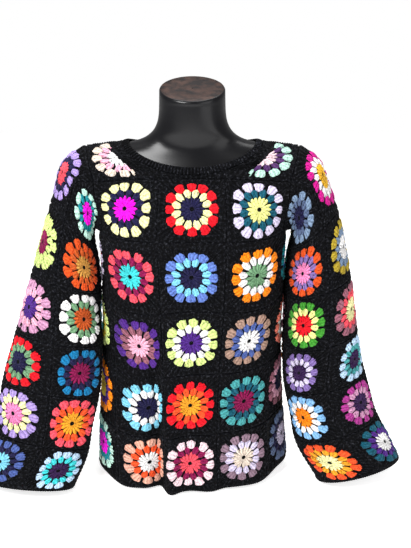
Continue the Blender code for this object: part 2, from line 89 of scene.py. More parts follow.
# The body's level rings, from the hem up to the underarm, one for each row of squares
BODY_RINGS = table("row height middle half_width front_depth back_depth front_share squareness", [
    (0, 0.005, -0.0045, 0.1915, 0.130, 0.066, 0.325, 2.25),
    (1, 0.122, -0.0060, 0.1820, 0.126, 0.072, 0.335, 2.25),
    (2, 0.243, -0.0035, 0.1735, 0.120, 0.082, 0.350, 2.30),
    (3, 0.366, -0.0005, 0.1715, 0.121, 0.093, 0.375, 2.45),
    (4, 0.493, 0.0, 0.1730, 0.117, 0.098, 0.393, 2.80),
])
# How far each row droops beside the front's middle column, on the wearer's right and left
DROOPS = table("row wearers_right wearers_left", [
    (0, 0.003, 0.000),
    (1, 0.013, 0.000),
    (2, 0.016, 0.003),
    (3, 0.013, 0.009),
    (4, 0.003, 0.003),
])
DROOP_COLUMN = 1.0
DROOP_WIDTH = 0.65
# On the wearer's right the front's squares are pushed together near the hem
SQUEEZE = 0.10
SQUEEZE_POWER = 1.5

# The hem and rows rise towards the back, because the front runs over the shoulder
HEM_TILT = 0.036
UNDERARM_TILT = 0.030

FOLD_FADE_ROWS = 1.5
# Soft folds in the body: where round the ring, how deep, how wide, and how high up it ends
BODY_FOLDS = table("column depth width high_row", [
    (-0.68, -0.021, 0.17, 2.8),
    (-0.38, 0.011, 0.14, 2.4),
    (0.62, -0.007, 0.18, 1.8),
    (-1.45, 0.006, 0.25, 2.2),
    (1.75, -0.006, 0.25, 2.6),
    (-2.35, -0.008, 0.25, 2.8),
    (3.45, -0.010, 0.22, 2.8),
    (-3.40, -0.009, 0.24, 2.4),
    (3.95, 0.006, 0.25, 2.0),
])
HEM_WAVE = 0.004
HEM_WAVE_ROWS = 0.5
HEM_WAVE_CYCLES = 9
HEM_WAVE_START = 0.45

# The yoke line, where the front's chest squares meet the shoulder squares
YOKE_HALF_WIDTH = 0.177
YOKE_HEIGHT = 0.598
YOKE_DEPTH = 0.079
YOKE_SWEEP = 0.019
YOKE_DROP = 0.009
YOKE_BEND_POWER = 2.2
SHOULDER_CROWN = 0.0035
SHOULDER_BEND_POWER = 1.5
# Which way the chest squares run where they reach the yoke line and, on the back, the top edge
FRONT_CHEST_END = Vector((0, 0.045, 0.088))
BACK_CHEST_END_AT_NECK = Vector((0, -0.030, 0.095))
BACK_CHEST_END_AT_ARM = Vector((0, -0.095, 0.055))
CHEST_START_PULL = 0.85
# A row is divided in so many parts to read which way the body or sleeve runs at its end
CHEST_PARTS = 4
SLEEVE_PARTS = 10
SLEEVE_OUTWARD_START = 0.7

# The outer side of a shoulder square, from the yoke line over the shoulder to the back panel
SHOULDER_EDGE = table("share x y z", [
    (0.00, YOKE_HALF_WIDTH, -YOKE_DEPTH + YOKE_SWEEP, YOKE_HEIGHT - YOKE_DROP),
    (0.25, 0.1850, -0.050, 0.6150),
    (0.50, 0.1915, -0.030, 0.6360),
    (0.75, 0.1955, -0.003, 0.6465),
    (1.00, 0.1935, 0.026, 0.6405),
])
# Where the shoulder square's back edge meets the neckband, round from the front's centre
BACK_SEAM_TURN = math.radians(106)
# The back panel's columns up to this one end at the neckband, and the rest at the shoulder square
BACK_NECK_COLUMN = 0.9
BACK_SEAM_STEPS = 3

# The neckband's two edges: half width, front and back depth, and height at front, side and back
NECK_EDGE, BAND_FOOT = table(
    "half_width front_depth back_depth front_height side_height back_height",
    [(0.117, 0.0735, 0.070, 0.6185, 0.6580, 0.644), (0.130, 0.0775, 0.083, 0.6050, 0.6545, 0.631)],
)
NECK_DIP_POWER = 1.35
NECK_PLAN_POWER = 0.80

# Sleeve rings: the points at the outer and inner side, the half depth, how far the seams turn forward,
# how much lower the front of the ring hangs, and how square the ring is
SLEEVE_RING = (
    "row outer_x outer_y outer_z inner_x inner_y inner_z "
    "half_depth turn_deg front_drop squareness"
)
WEARERS_RIGHT_SLEEVE = table(SLEEVE_RING, [
    (0.50, 0.2475, 0.000, 0.600, 0.1890, -0.002, 0.485, 0.072, 20, 0.000, 2.2),
    (1.00, 0.2640, -0.006, 0.542, 0.1835, -0.014, 0.454, 0.074, 30, 0.003, 2.4),
    (2.00, 0.2990, -0.022, 0.414, 0.1765, -0.042, 0.377, 0.070, 44, 0.003, 2.3),
    (3.00, 0.3330, -0.040, 0.306, 0.1750, -0.060, 0.281, 0.066, 48, 0.005, 2.2),
    (4.00, 0.3620, -0.060, 0.211, 0.1810, -0.076, 0.183, 0.058, 51, 0.006, 2.1),
    (5.00, 0.3780, -0.084, 0.113, 0.1990, -0.100, 0.085, 0.050, 51, 0.004, 2.0),
    (6.00, 0.4080, -0.098, 0.018, 0.2310, -0.122, 0.011, 0.048, 48, 0.000, 2.0),
])
WEARERS_LEFT_SLEEVE = table(SLEEVE_RING, [
    (0.50, 0.2455, 0.000, 0.598, 0.1890, -0.002, 0.485, 0.072, 20, 0.000, 2.2),
    (1.00, 0.2680, -0.002, 0.532, 0.1835, -0.014, 0.454, 0.074, 24, 0.003, 2.4),
    (2.00, 0.2910, -0.006, 0.414, 0.1790, -0.034, 0.370, 0.075, 24, 0.009, 2.4),
    (3.00, 0.3090, -0.014, 0.310, 0.1775, -0.046, 0.277, 0.073, 28, 0.013, 2.3),
    (4.00, 0.3280, -0.025, 0.222, 0.1805, -0.058, 0.190, 0.070, 38, 0.012, 2.2),
    (5.00, 0.3600, -0.034, 0.130, 0.1980, -0.080, 0.094, 0.062, 42, 0.008, 2.1),
    (6.00, 0.4060, -0.028, 0.030, 0.2470, -0.098, 0.011, 0.056, 42, 0.000, 2.0),
])
SLEEVE_TABLE_START = 0.5
# Creases of a sleeve: row, how deep, how tall, the side they face, and how far round they spread
SLEEVE_CREASES = table("row depth height facing_deg spread_deg", [
    (0.75, -0.006, 0.30, 130, 60),
    (2.45, -0.004, 0.35, 170, 60),
    (4.60, -0.005, 0.40, 190, 70),
    (4.90, -0.004, 0.35, 40, 60),
])

# The dress form, from its flat base to the cut across its neck
FORM_RINGS = table("height half_width front_depth back_depth squareness", [
    (0.000, 0.146, 0.090, 0.036, 2.2),
    (0.004, 0.150, 0.094, 0.040, 2.2),
    (0.060, 0.158, 0.101, 0.043, 2.2),
    (0.140, 0.150, 0.096, 0.046, 2.2),
    (0.240, 0.124, 0.086, 0.052, 2.1),
    (0.330, 0.132, 0.094, 0.066, 2.1),
    (0.410, 0.146, 0.106, 0.078, 2.1),
    (0.470, 0.153, 0.104, 0.083, 2.1),
    (0.520, 0.162, 0.093, 0.082, 2.1),
    (0.560, 0.174, 0.080, 0.075, 2.0),
    (0.590, 0.182, 0.070, 0.066, 1.9),
    (0.613, 0.183, 0.061, 0.059, 1.8),
    (0.628, 0.178, 0.055, 0.054, 1.7),
    (0.639, 0.168, 0.052, 0.051, 1.6),
    (0.6465, 0.1535, 0.051, 0.050, 1.5),
    (0.6515, 0.1335, 0.051, 0.051, 1.5),
    (0.6565, 0.108, 0.052, 0.053, 1.6),
    (0.663, 0.089, 0.053, 0.054, 1.8),
    (0.674, 0.0745, 0.056, 0.056, 2.0),
    (0.689, 0.0660, 0.058, 0.058, 2.0),
    (0.706, 0.0625, 0.059, 0.059, 2.0),
    (0.725, 0.0615, 0.0595, 0.0595, 2.0),
])
NECK_CUT_HEIGHT = 0.751
NECK_CUT_SLOPE = 0.33
NECK_CUT_RADIUS = 0.0600
NECK_CUT_BEVEL = 0.003
NECK_CUT_WIDER = 0.001


def hermite(low, start, high, end, t):
    """A value between two others that leaves the first and reaches the second at given slopes."""
    return (
        low * (2 * t**3 - 3 * t**2 + 1)
        + start * (t**3 - 2 * t**2 + t)
        + high * (3 * t**2 - 2 * t**3)
        + end * (t**3 - t**2)
    )


def spline(places, values, at):
    """A smooth curve through values at given places."""
    last = len(places) - 1
    at = min(max(at, places[0]), places[-1])
    i = min(int(np.searchsorted(places, at, side="right")) - 1, last - 1)
    step = places[i + 1] - places[i]

    def rise(j):
        low, high = max(j - 1, 0), min(j + 1, last)
        return (values[high] - values[low]) / (places[high] - places[low]) * step

    return hermite(values[i], rise(i), values[i + 1], rise(i + 1), (at - places[i]) / step)


def row_at(rows, at):
    """A row of a table at any place along its first column."""
    columns = list(zip(*rows))
    return type(rows[0])(*[spline(columns[0], column, at) for column in columns])


def signed_power(value, power):
    return math.copysign(abs(value) ** power, value)


def bell(distance):
    return math.exp(-distance * distance)


def round_body(column):
    """The same column counted from the front's centre, to the left or right."""
    return (column + HALF_ROUND) % (2 * HALF_ROUND) - HALF_ROUND


def body_place(column, row):
    """A point of the body's middle surface below the arms. Column 0 is the front's centre, 4 the back's."""
    ring = row_at(BODY_RINGS, row)
    front, back, share, power = ring.front_depth, ring.back_depth, ring.front_share, 2 / ring.squareness
    turn = np.linspace(0, math.pi, OUTLINE_POINTS)
    x = ring.half_width * np.sin(turn) ** power
    y = np.where(turn < math.pi / 2, -front, back) * np.abs(np.cos(turn)) ** power
    travel = np.concatenate([[0], np.cumsum(np.hypot(np.diff(x), np.diff(y)))])
    half = travel[-1]
    column = round_body(column)
    if column < 0:
        share *= 1 - SQUEEZE * (1 - row / BODY_ROWS_BELOW_ARM) ** SQUEEZE_POWER
    front_column = share * 2 * half / FRONT_COLUMNS
    other_column = (half - HALF_FRONT * front_column) / (HALF_ROUND - HALF_FRONT)
    along = abs(column) * front_column
    if abs(column) > HALF_FRONT:
        along = HALF_FRONT * front_column + (abs(column) - HALF_FRONT) * other_column
    px = float(np.interp(along, travel, x)) * (1 if column >= 0 else -1)
    py = float(np.interp(along, travel, y))
    outward = Vector((px / ring.half_width**2, py / (front if py < 0 else back) ** 2, 0)).normalized()
    wave = (1 - math.cos(math.pi * (column + HEM_WAVE_START) * HEM_WAVE_CYCLES / HALF_ROUND)) / 2
    tilt = HEM_TILT + (UNDERARM_TILT - HEM_TILT) * row / BODY_ROWS_BELOW_ARM
    lift = HEM_WAVE * wave * bell(row / HEM_WAVE_ROWS) + tilt * (py + front) / (front + back)
    droops = row_at(DROOPS, row)
    droop = droops.wearers_right if column < 0 else droops.wearers_left
    lift -= droop * bell((abs(column) - DROOP_COLUMN) / DROOP_WIDTH)
    return Vector((ring.middle + px, py, ring.height + lift)) + outward * fold_push(column, row)


def fold_push(column, row):
    total = 0.0
    for fold in BODY_FOLDS:
        if row < fold.high_row:
            away = round_body(column - fold.column)
            fade = min(1.0, (fold.high_row - row) / FOLD_FADE_ROWS)
            total += fold.depth * bell(away / fold.width) * fade * fade * (3 - 2 * fade)
    return total


def yoke_place(column):
    """A point of the front's yoke line."""
    bend = (abs(column) / HALF_FRONT) ** YOKE_BEND_POWER
    x = YOKE_HALF_WIDTH * column / HALF_FRONT
    return Vector((x, -YOKE_DEPTH + YOKE_SWEEP * bend, YOKE_HEIGHT - YOKE_DROP * bend))


def back_top_place(column):
    """A point of the back panel's top edge, at a column counted from the back's centre towards -X."""
    away = abs(column)
    if away <= BACK_NECK_COLUMN + 1e-6:
        share = column / BACK_NECK_COLUMN
        return neck_place(BAND_FOOT, math.pi + share * (math.pi - BACK_SEAM_TURN))
    t = (away - BACK_NECK_COLUMN) / (HALF_FRONT - BACK_NECK_COLUMN)
    point = neck_place(BAND_FOOT, BACK_SEAM_TURN).lerp(shoulder_edge(1.0), t)
    return mirror_x(point) if column > 0 else point


def chest_place(column, rise, is_front):
    """A point of the row of squares above the underarm, where rise goes from 0 to 1."""
    offset = 0 if is_front else HALF_ROUND
    low = body_place(column + offset, BODY_ROWS_BELOW_ARM)
    below = body_place(column + offset, BODY_ROWS_BELOW_ARM - 1 / CHEST_PARTS)
    start = (low - below) * CHEST_PARTS * CHEST_START_PULL
    if is_front:
        return hermite(low, start, yoke_place(column), FRONT_CHEST_END, rise)
    end = BACK_CHEST_END_AT_NECK.lerp(BACK_CHEST_END_AT_ARM, (column / HALF_FRONT) ** 2)
    return hermite(low, start, back_top_place(column), end, rise)


def neck_place(ring, turn):
    """A point of a neckband edge, at an angle from the front's centre towards +X."""
    c, s = math.cos(turn), math.sin(turn)
    depth = ring.front_depth if c > 0 else ring.back_depth
    end_height = ring.front_height if c > 0 else ring.back_height
    x = ring.half_width * s
    y = -depth * signed_power(c, NECK_PLAN_POWER)
    z = ring.side_height - (ring.side_height - end_height) * abs(c) ** NECK_DIP_POWER
    return Vector((x, y, z))


FILL_TURN = math.asin(YOKE_HALF_WIDTH / FRONT_COLUMNS / BAND_FOOT.half_width)


def shoulder_inner(step):
    """The shoulder square's neck side, step by step from the yoke line along the neckband's foot."""
    if step == 0:
        return yoke_place(0.5)
    t = (step - 1) / (OVER_SHOULDER_SPLITS - 1)
    return neck_place(BAND_FOOT, FILL_TURN + t * (BACK_SEAM_TURN - FILL_TURN))


def shoulder_edge(share):
    return Vector(row_at(SHOULDER_EDGE, share)[1:])


def shoulder_place(step, across):
    """A point of a shoulder square. Its back edge is short, since the neckband cuts that corner off."""
    along = step / OVER_SHOULDER_SPLITS
    if step == OVER_SHOULDER_SPLITS:
        short = BACK_SEAM_STEPS / SPLITS
        across = max(0.0, (across - 1 + short) / short)
    inner, outer = shoulder_inner(step), shoulder_edge(along)
    crown = SHOULDER_CROWN * 4 * across * (1 - across) * math.sin(math.pi * along)
    point = inner.lerp(outer, across) + Vector((0, 0, crown))
    straight = yoke_place(0.5).lerp(yoke_place(HALF_FRONT), across)
    curved = yoke_place(0.5 + across)
    return point + (curved - straight) * max(0.0, 1 - 2 * along) ** SHOULDER_BEND_POWER


def armhole_place(column, is_right):
    """The seam round an armhole: over the shoulder, then front, underarm and back, a column each."""
    side, t = divmod(column % SLEEVE_COLUMNS, 1.0)
    if side == 0:
        return shoulder_edge(1 - t)
    sign = -1 if is_right else 1
    if side == 1:
        point = chest_place(sign * HALF_FRONT, 1 - t, True)
    elif side == 2:
        point = body_place(sign * (HALF_FRONT + t), BODY_ROWS_BELOW_ARM)
    else:
        point = chest_place(-sign * HALF_FRONT, t, False)
    return mirror_x(point) if is_right else point


def sleeve_middle(ring):
    return Vector([outer + inner for outer, inner in zip(ring[1:4], ring[4:7])]) / 2


def sleeve_ring_place(rows, column, row):
    """A point of the sleeve's middle surface on the ellipse of one row."""
    ring = row_at(rows, row)
    half_out = Vector([outer - inner for outer, inner in zip(ring[1:4], ring[4:7])]) / 2
    low, high = (sleeve_middle(row_at(rows, row + step)) for step in (-1 / SPLITS, 1 / SPLITS))
    half_front = (high - low).cross(half_out).normalized() * ring.half_depth
    turn = math.radians(ring.turn_deg + 90 * (column - 0.5))
    half_front.z -= ring.front_drop
    power = 2 / ring.squareness
    spoke = half_out * signed_power(math.cos(turn), power)
    spoke += half_front * signed_power(math.sin(turn), power)
    return sleeve_middle(ring) + spoke + spoke.normalized() * crease_push(math.degrees(turn), row)


def crease_push(facing_deg, row):
    total = 0.0
    for crease in SLEEVE_CREASES:
        away = (facing_deg - crease.facing_deg + 180) % 360 - 180
        total += crease.depth * bell((row - crease.row) / crease.height) * bell(away / crease.spread_deg)
    return total

def sleeve_place(rows, column, row, is_right):
    """A point of the sleeve, which leaves the armhole seam and becomes an ellipse half a row on."""
    first = SLEEVE_TABLE_START
    if row >= first:
        return sleeve_ring_place(rows, column, row)
    seam = armhole_place(column, is_right)
    ring = sleeve_ring_place(rows, column, first)
    later = sleeve_ring_place(rows, column, first + 1 / SLEEVE_PARTS)
    end = (later - ring) * SLEEVE_PARTS * first
    chord = ring - seam
    start = chord.lerp(Vector((chord.length, 0, 0)), SLEEVE_OUTWARD_START)
    return hermite(seam, start, ring, end, row / first)


def mirror_x(point):
    return Vector((-point.x, point.y, point.z))


class Surface:
    """A panel's middle surface, read between the lines of a fine grid."""

    def __init__(self, place, columns, rows, inside_out=False, per_square=GRID_PER_SQUARE):
        self.low = (columns[0], rows[0])
        self.squares = (columns[1] - columns[0], rows[1] - rows[0])
        across = np.linspace(columns[0], columns[1], round(self.squares[0] * per_square) + 1)
        along = np.linspace(rows[0], rows[1], round(self.squares[1] * per_square) + 1)
        self.points = np.array([[place(c, r) for c in across] for r in along])
        step_across = np.gradient(self.points, axis=1)
        step_along = np.gradient(self.points, axis=0)
        normals = np.cross(step_across, step_along)
        if inside_out:
            normals = -normals
        self.normals = unit(normals)
        self.width = np.linalg.norm(step_across, axis=2) * (len(across) - 1) / self.squares[0]
        self.length = np.linalg.norm(step_along, axis=2) * (len(along) - 1) / self.squares[1]
        self.drift = None
        self.closed = False

    def close_round(self):
        """Makes the normals of the first and last column the same, on a tube."""
        both = unit(self.normals[:, 0] + self.normals[:, -1])
        self.normals[:, 0] = both
        self.normals[:, -1] = both
        self.closed = True

    def read(self, grid, columns, rows):
        high_row, high_column = grid.shape[0] - 1, grid.shape[1] - 1
        if self.drift:
            columns = self.drift(columns, rows)
        if self.closed:
            columns = self.low[0] + np.mod(columns - self.low[0], self.squares[0])
        u = np.clip((columns - self.low[0]) / self.squares[0], 0, 1) * high_column
        v = np.clip((rows - self.low[1]) / self.squares[1], 0, 1) * high_row
        i = np.minimum(u.astype(int), high_column - 1)
        j = np.minimum(v.astype(int), high_row - 1)
        a, b = u - i, v - j
        if grid.ndim == 3:
            a, b = a[..., None], b[..., None]
        low = grid[j, i] * (1 - a) + grid[j, i + 1] * a
        high = grid[j + 1, i] * (1 - a) + grid[j + 1, i + 1] * a
        return low * (1 - b) + high * b

    def at(self, columns, rows, heights):
        """Places at a height above the middle surface."""
        normals = unit(self.read(self.normals, columns, rows))
        return self.read(self.points, columns, rows) + normals * heights[..., None]

    def square_size(self, column, row):
        """The width and length of the square whose lowest corner is given."""
        u = np.linspace(column + 0.1, column + 0.9, 9)
        v = np.linspace(row + 0.1, row + 0.9, 9)
        u, v = np.meshgrid(u, v)
        return float(self.read(self.width, u, v).mean()), float(self.read(self.length, u, v).mean())


def unit(vectors):
    return vectors / np.maximum(np.linalg.norm(vectors, axis=-1, keepdims=True), 1e-12)


def place_object(name, data):
    obj = bpy.data.objects.new(name, data)
    bpy.context.scene.collection.objects.link(obj)
    return obj


def edit_mesh(mesh, change):
    made = bmesh.new()
    made.from_mesh(mesh)
    change(made)
    made.to_mesh(mesh)
    made.free()


def stand_for(piece, node):
    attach(piece, "root")
    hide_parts(node)


class Pile:
    """Geometry gathered for one object: points, faces, a material for each face, UVs for each point."""

    def __init__(self):
        self.parts = []
        self.count = 0

    def add(self, points, faces, slots, uvs):
        """Faces are rows of four corners, and a triangle repeats its last one."""
        self.parts.append((points, faces + self.count, np.broadcast_to(slots, len(faces)), uvs))
        self.count += len(points)

    def object(self, name, materials, weld=0.0):
        points, faces, slots, uvs = (np.concatenate(each) for each in zip(*self.parts))
        keep = np.ones(faces.shape, bool)
        keep[:, 3] = faces[:, 2] != faces[:, 3]
        corners = faces[keep]
        starts = np.cumsum(keep.sum(axis=1)) - keep.sum(axis=1)
        mesh = bpy.data.meshes.new(name)
        mesh.vertices.add(len(points))
        mesh.vertices.foreach_set("co", points.astype(np.float32).ravel())
        mesh.loops.add(len(corners))
        mesh.loops.foreach_set("vertex_index", corners.astype(np.int32))
        mesh.polygons.add(len(faces))
        mesh.polygons.foreach_set("loop_start", starts.astype(np.int32))
        mesh.polygons.foreach_set("material_index", slots.astype(np.int32))
        mesh.update(calc_edges=True)
        layer = mesh.uv_layers.new(name="UVMap")
        layer.data.foreach_set("uv", uvs[corners].astype(np.float32).ravel())
        for material in materials:
            mesh.materials.append(material)
        if weld:
            edit_mesh(mesh, lambda made: bmesh.ops.remove_doubles(made, verts=made.verts, dist=weld))
        mesh.shade_smooth()
        return place_object(name, mesh)


def grid_faces(columns, rows, flip=False, wrap=False):
    """Quads of a grid of points that is stored row by row."""
    i, j = np.meshgrid(np.arange(columns if wrap else columns - 1), np.arange(rows - 1))
    i, low = i.ravel(), j.ravel() * columns
    right, high = (i + 1) % columns, low + columns
    faces = np.stack([low + i, low + right, high + right, high + i], 1)
    return faces[:, ::-1] if flip else faces


OUTER_SKIN = 0.0012
INNER_SKIN = -0.0011
SEAM_SKIN = -0.0002
GROUND_SIDES = 40
GROUND_HOLE = 0.30
HOLE_RINGS = (0.06, 0.12, 0.18, 0.24)
HOLE_DROP = 0.0008
GROUND_RINGS = (0.0, 0.14, 0.30, 0.46, 0.62, 0.76, 0.86, 0.92, 0.965, 1.0)
# The worked rows end at the first share, and the ridge along the seam lies between the next two
ROWS_END = 0.90
RIDGE_SPAN = (0.80, 0.96)
STITCHES_A_SIDE = 10
STITCH_RISE = 0.0010
STITCH_FADE_POWER = 6
SEAM_RIDGE = 0.0016
SEAM_DIP = 0.6
ROW_GROOVE = 0.0009
ROWS_OF_GROUND = 2
HOLE_UV_ROWS = 8
GROUND_UV_ROWS = 3
INNER_SPLITS = 10


def ground_template():
    """The black ground of a square between the motif and its seams, in shares of the square."""
    side = np.arange(GROUND_SIDES) / GROUND_SIDES
    half = np.full(GROUND_SIDES, 0.5)
    edge_x = np.concatenate([side - 0.5, half, 0.5 - side, -half])
    edge_y = np.concatenate([-half, side - 0.5, half, 0.5 - side])
    turn = np.arctan2(edge_y, edge_x)
    along_side = np.concatenate([side, 1 + side, 2 + side, 3 + side])
    stitch = np.cos(2 * math.pi * STITCHES_A_SIDE * along_side)
    count = len(turn)
    rings = [
        (radius * np.cos(turn), radius * np.sin(turn), OUTER_SKIN - HOLE_DROP, radius * HOLE_UV_ROWS)
        for radius in HOLE_RINGS
    ]
    for share in GROUND_RINGS:
        x = GROUND_HOLE * np.cos(turn) * (1 - share) + edge_x * share
        y = GROUND_HOLE * np.sin(turn) * (1 - share) + edge_y * share
        row = np.cos(2 * math.pi * ROWS_OF_GROUND * share)
        height = OUTER_SKIN + STITCH_RISE * stitch * (1 - share**STITCH_FADE_POWER)
        height = height - ROW_GROOVE * row * (share < ROWS_END)
        low, high = RIDGE_SPAN
        if low < share < high:
            height = height + SEAM_RIDGE * math.sin(math.pi * (share - low) / (high - low))
        elif high < share < 1:
            height = height - SEAM_RIDGE * SEAM_DIP
        elif share == 1:
            height = SEAM_SKIN
        rings.append((x, y, height, share * GROUND_UV_ROWS))
    rings.append((0 * turn[:1], 0 * turn[:1], OUTER_SKIN - HOLE_DROP, 0))
    faces = grid_faces(count, len(rings) - 1, flip=True, wrap=True)
    i = np.arange(count)
    after = (i + 1) % count
    fan = np.stack([np.full(count, count * (len(rings) - 1)), i, after, after], 1)
    x, y, height, across = (
        np.concatenate([np.broadcast_to(ring[k], len(ring[0])) for ring in rings]) for k in range(4)
    )
    along = np.append(np.tile(along_side * STITCHES_A_SIDE, len(rings) - 1), 0)
    return np.stack([x, y], 1), height, np.concatenate([faces, fan]), np.stack([along, across], 1)


PETAL_RINGS = table("count inner outer width_inner width_outer rise strands across along half_step", [
    (16, 0.085, 0.50, 0.030, 0.070, 0.0014, 1, 4, 6, 0.0),
    (12, 0.40, 0.76, 0.086, 0.142, 0.0022, 2, 8, 6, 0.5),
    (12, 0.645, 1.00, 0.136, 0.204, 0.0032, 3, 10, 7, 0.0),
])
CENTRE_RING_RADIUS = 0.115
CENTRE_RING_TUBE = 0.038
CENTRE_RING_RISE = 0.0008
CENTRE_RING_SECTION = 5
CENTRE_RING_BEADS = 12
CENTRE_RING_BEAD = 0.12
RING_TURNS = 2 * math.pi * np.arange(24) / 24
MOTIF_SQUARENESS = 0.035
PETAL_FOOT = -0.0006
PETAL_WIDEST = 0.70
PETAL_HEEL = 0.22
# How much a petal narrows at its tip and heel, and how its dome falls towards both and its sides
TIP_NARROWING = 0.86
HEEL_NARROWING = 0.6
POINTED_NARROWING = 0.6
TIP_ROUNDING = 0.018
DOME_SIDE_POWER = 0.8
DOME_TIP_POWER = 2.5
DOME_HEEL_FALL = 0.75
GROOVED_WIDTH = 0.9
STRAND_GROOVE = 0.30
MOTIF_RADIUS = 0.0500
MOTIF_FIT = 0.475
# The small unevenness of hand work: how much a motif's turn, size and place differ, and each petal's
TURN_PLAY = 0.13
SIZE_PLAY = 0.03
PLACE_PLAY = 0.012
PETAL_TURN_PLAY = 0.022
PETAL_REACH_PLAY = 0.022
PETAL_LEAN_PLAY = 0.04
PETAL_WIDTHS = (0.93, 1.05)
PETAL_RISES = (0.85, 1.15)


def petal_template(ring):
    """One petal along +X for a motif of radius 1: places, rises, faces and UVs."""
    a, b = np.meshgrid(np.linspace(-1, 1, ring.across), np.linspace(0, 1, ring.along))
    width = ring.width_inner + (ring.width_outer - ring.width_inner) * np.minimum(b / PETAL_WIDEST, 1)
    tip = np.clip((b - PETAL_WIDEST) / (1 - PETAL_WIDEST), 0, 1)
    heel = np.clip(1 - b / PETAL_HEEL, 0, 1)
    width = width * np.sqrt(np.maximum(1 - TIP_NARROWING * tip**2, 0))
    width = width * np.sqrt(1 - HEEL_NARROWING * heel**2)
    if ring.strands == 1:
        width = width * (1 - POINTED_NARROWING * tip)
    x = ring.inner + (ring.outer - ring.inner) * b - TIP_ROUNDING * tip * a * a
    dome = np.sqrt(np.maximum(1 - a * a, 0)) ** DOME_SIDE_POWER
    dome = dome * (1 - tip**DOME_TIP_POWER) * (1 - DOME_HEEL_FALL * heel**2)
    strand = 1.0
    if ring.strands > 1:
        groove = (1 + np.cos(math.pi * ring.strands * (a + 1))) / 2
        strand = 1 - STRAND_GROOVE * groove * (np.abs(a) < GROOVED_WIDTH)
    rise = PETAL_FOOT + (ring.rise - PETAL_FOOT) * dome * strand
    uv = np.stack([(a + 1) * ring.strands / 2, b * 2], 2).reshape(-1, 2)
    faces = grid_faces(ring.across, ring.along, flip=True)
    return x.ravel(), (a * width).ravel(), rise.ravel(), faces, uv


def ring_part(number, turn, radius, rise, across, flip=False):
    """A closed ring of a motif, from a grid of angles, radii and rises."""
    faces = grid_faces(turn.shape[1], turn.shape[0], flip=flip, wrap=True)
    x, y = radius * np.cos(turn), radius * np.sin(turn)
    return x.ravel(), y.ravel(), rise.ravel(), faces, number, np.stack([turn * 2, across], 2).reshape(-1, 2)


def joined(parts):
    """The parts of a motif put together, as x, y, rise, faces, number of the part, and UVs."""
    start, moved = 0, []
    for x, y, rise, faces, number, uv in parts:
        moved.append((x, y, rise, faces + start, np.full(len(faces), number), uv))
        start += len(x)
    return [np.concatenate(each) for each in zip(*moved)]


def motif_geometry(random):
    """A whole motif of radius 1, its petals in rings round the small ring that closes its middle."""
    parts = []
    turn_whole = random.uniform(-TURN_PLAY, TURN_PLAY)
    for number, ring in enumerate(PETAL_RINGS):
        x, y, rise, faces, uv = petal_template(ring)
        for petal in range(ring.count):
            turn = turn_whole + 2 * math.pi * (petal + ring.half_step) / ring.count
            turn += random.normal(0, PETAL_TURN_PLAY)
            wide = random.uniform(*PETAL_WIDTHS)
            reach = random.uniform(-PETAL_REACH_PLAY, PETAL_REACH_PLAY)
            px = x + reach * (x - ring.inner) / (ring.outer - ring.inner)
            py = y * wide + PETAL_LEAN_PLAY * random.normal() * (x - ring.inner)
            corner = 1 + MOTIF_SQUARENESS * (-math.cos(4 * turn))
            raised = np.where(rise > 0, rise * random.uniform(*PETAL_RISES), rise)
            placed_x = (px * math.cos(turn) - py * math.sin(turn)) * corner
            placed_y = (px * math.sin(turn) + py * math.cos(turn)) * corner
            parts.append((placed_x, placed_y, raised, faces, number, uv + (petal * 4, number * 5)))
    turn, bend = np.meshgrid(RING_TURNS, np.linspace(math.pi, 0, CENTRE_RING_SECTION))
    beads = 1 + CENTRE_RING_BEAD * np.cos(CENTRE_RING_BEADS * turn)
    radius = CENTRE_RING_RADIUS + CENTRE_RING_TUBE * np.cos(bend) * beads
    rise = PETAL_FOOT + (CENTRE_RING_RISE - PETAL_FOOT) * np.sin(bend)
    parts.append(ring_part(0, turn, radius, rise, bend, flip=True))
    return joined(parts)


INNER_RING_SPANS = [(0.05, 0.42), (0.42, 0.70), (0.70, 0.97)]
INNER_RING_RISE = -0.0004
INNER_RING_BASE = 0.0003
INNER_RING_STEPS = 4
INNER_RING_LOBES = 12
LOBE_REACH = 0.03
LOBE_RISE = 0.4


def inner_motif_geometry():
    """The back of a motif, as three flat scalloped rings of its yarns."""
    parts = []
    turn, share = np.meshgrid(RING_TURNS, np.linspace(0, 1, INNER_RING_STEPS))
    lobes = np.cos(INNER_RING_LOBES * turn)
    for number, (low, high) in enumerate(INNER_RING_SPANS):
        radius = low + (high - low) * share + LOBE_REACH * lobes * share
        rise = INNER_RING_RISE * np.sin(math.pi * share) ** 0.5 * (1 + LOBE_RISE * lobes) + INNER_RING_BASE
        parts.append(ring_part(number, turn, radius, rise, share))
    return joined(parts)


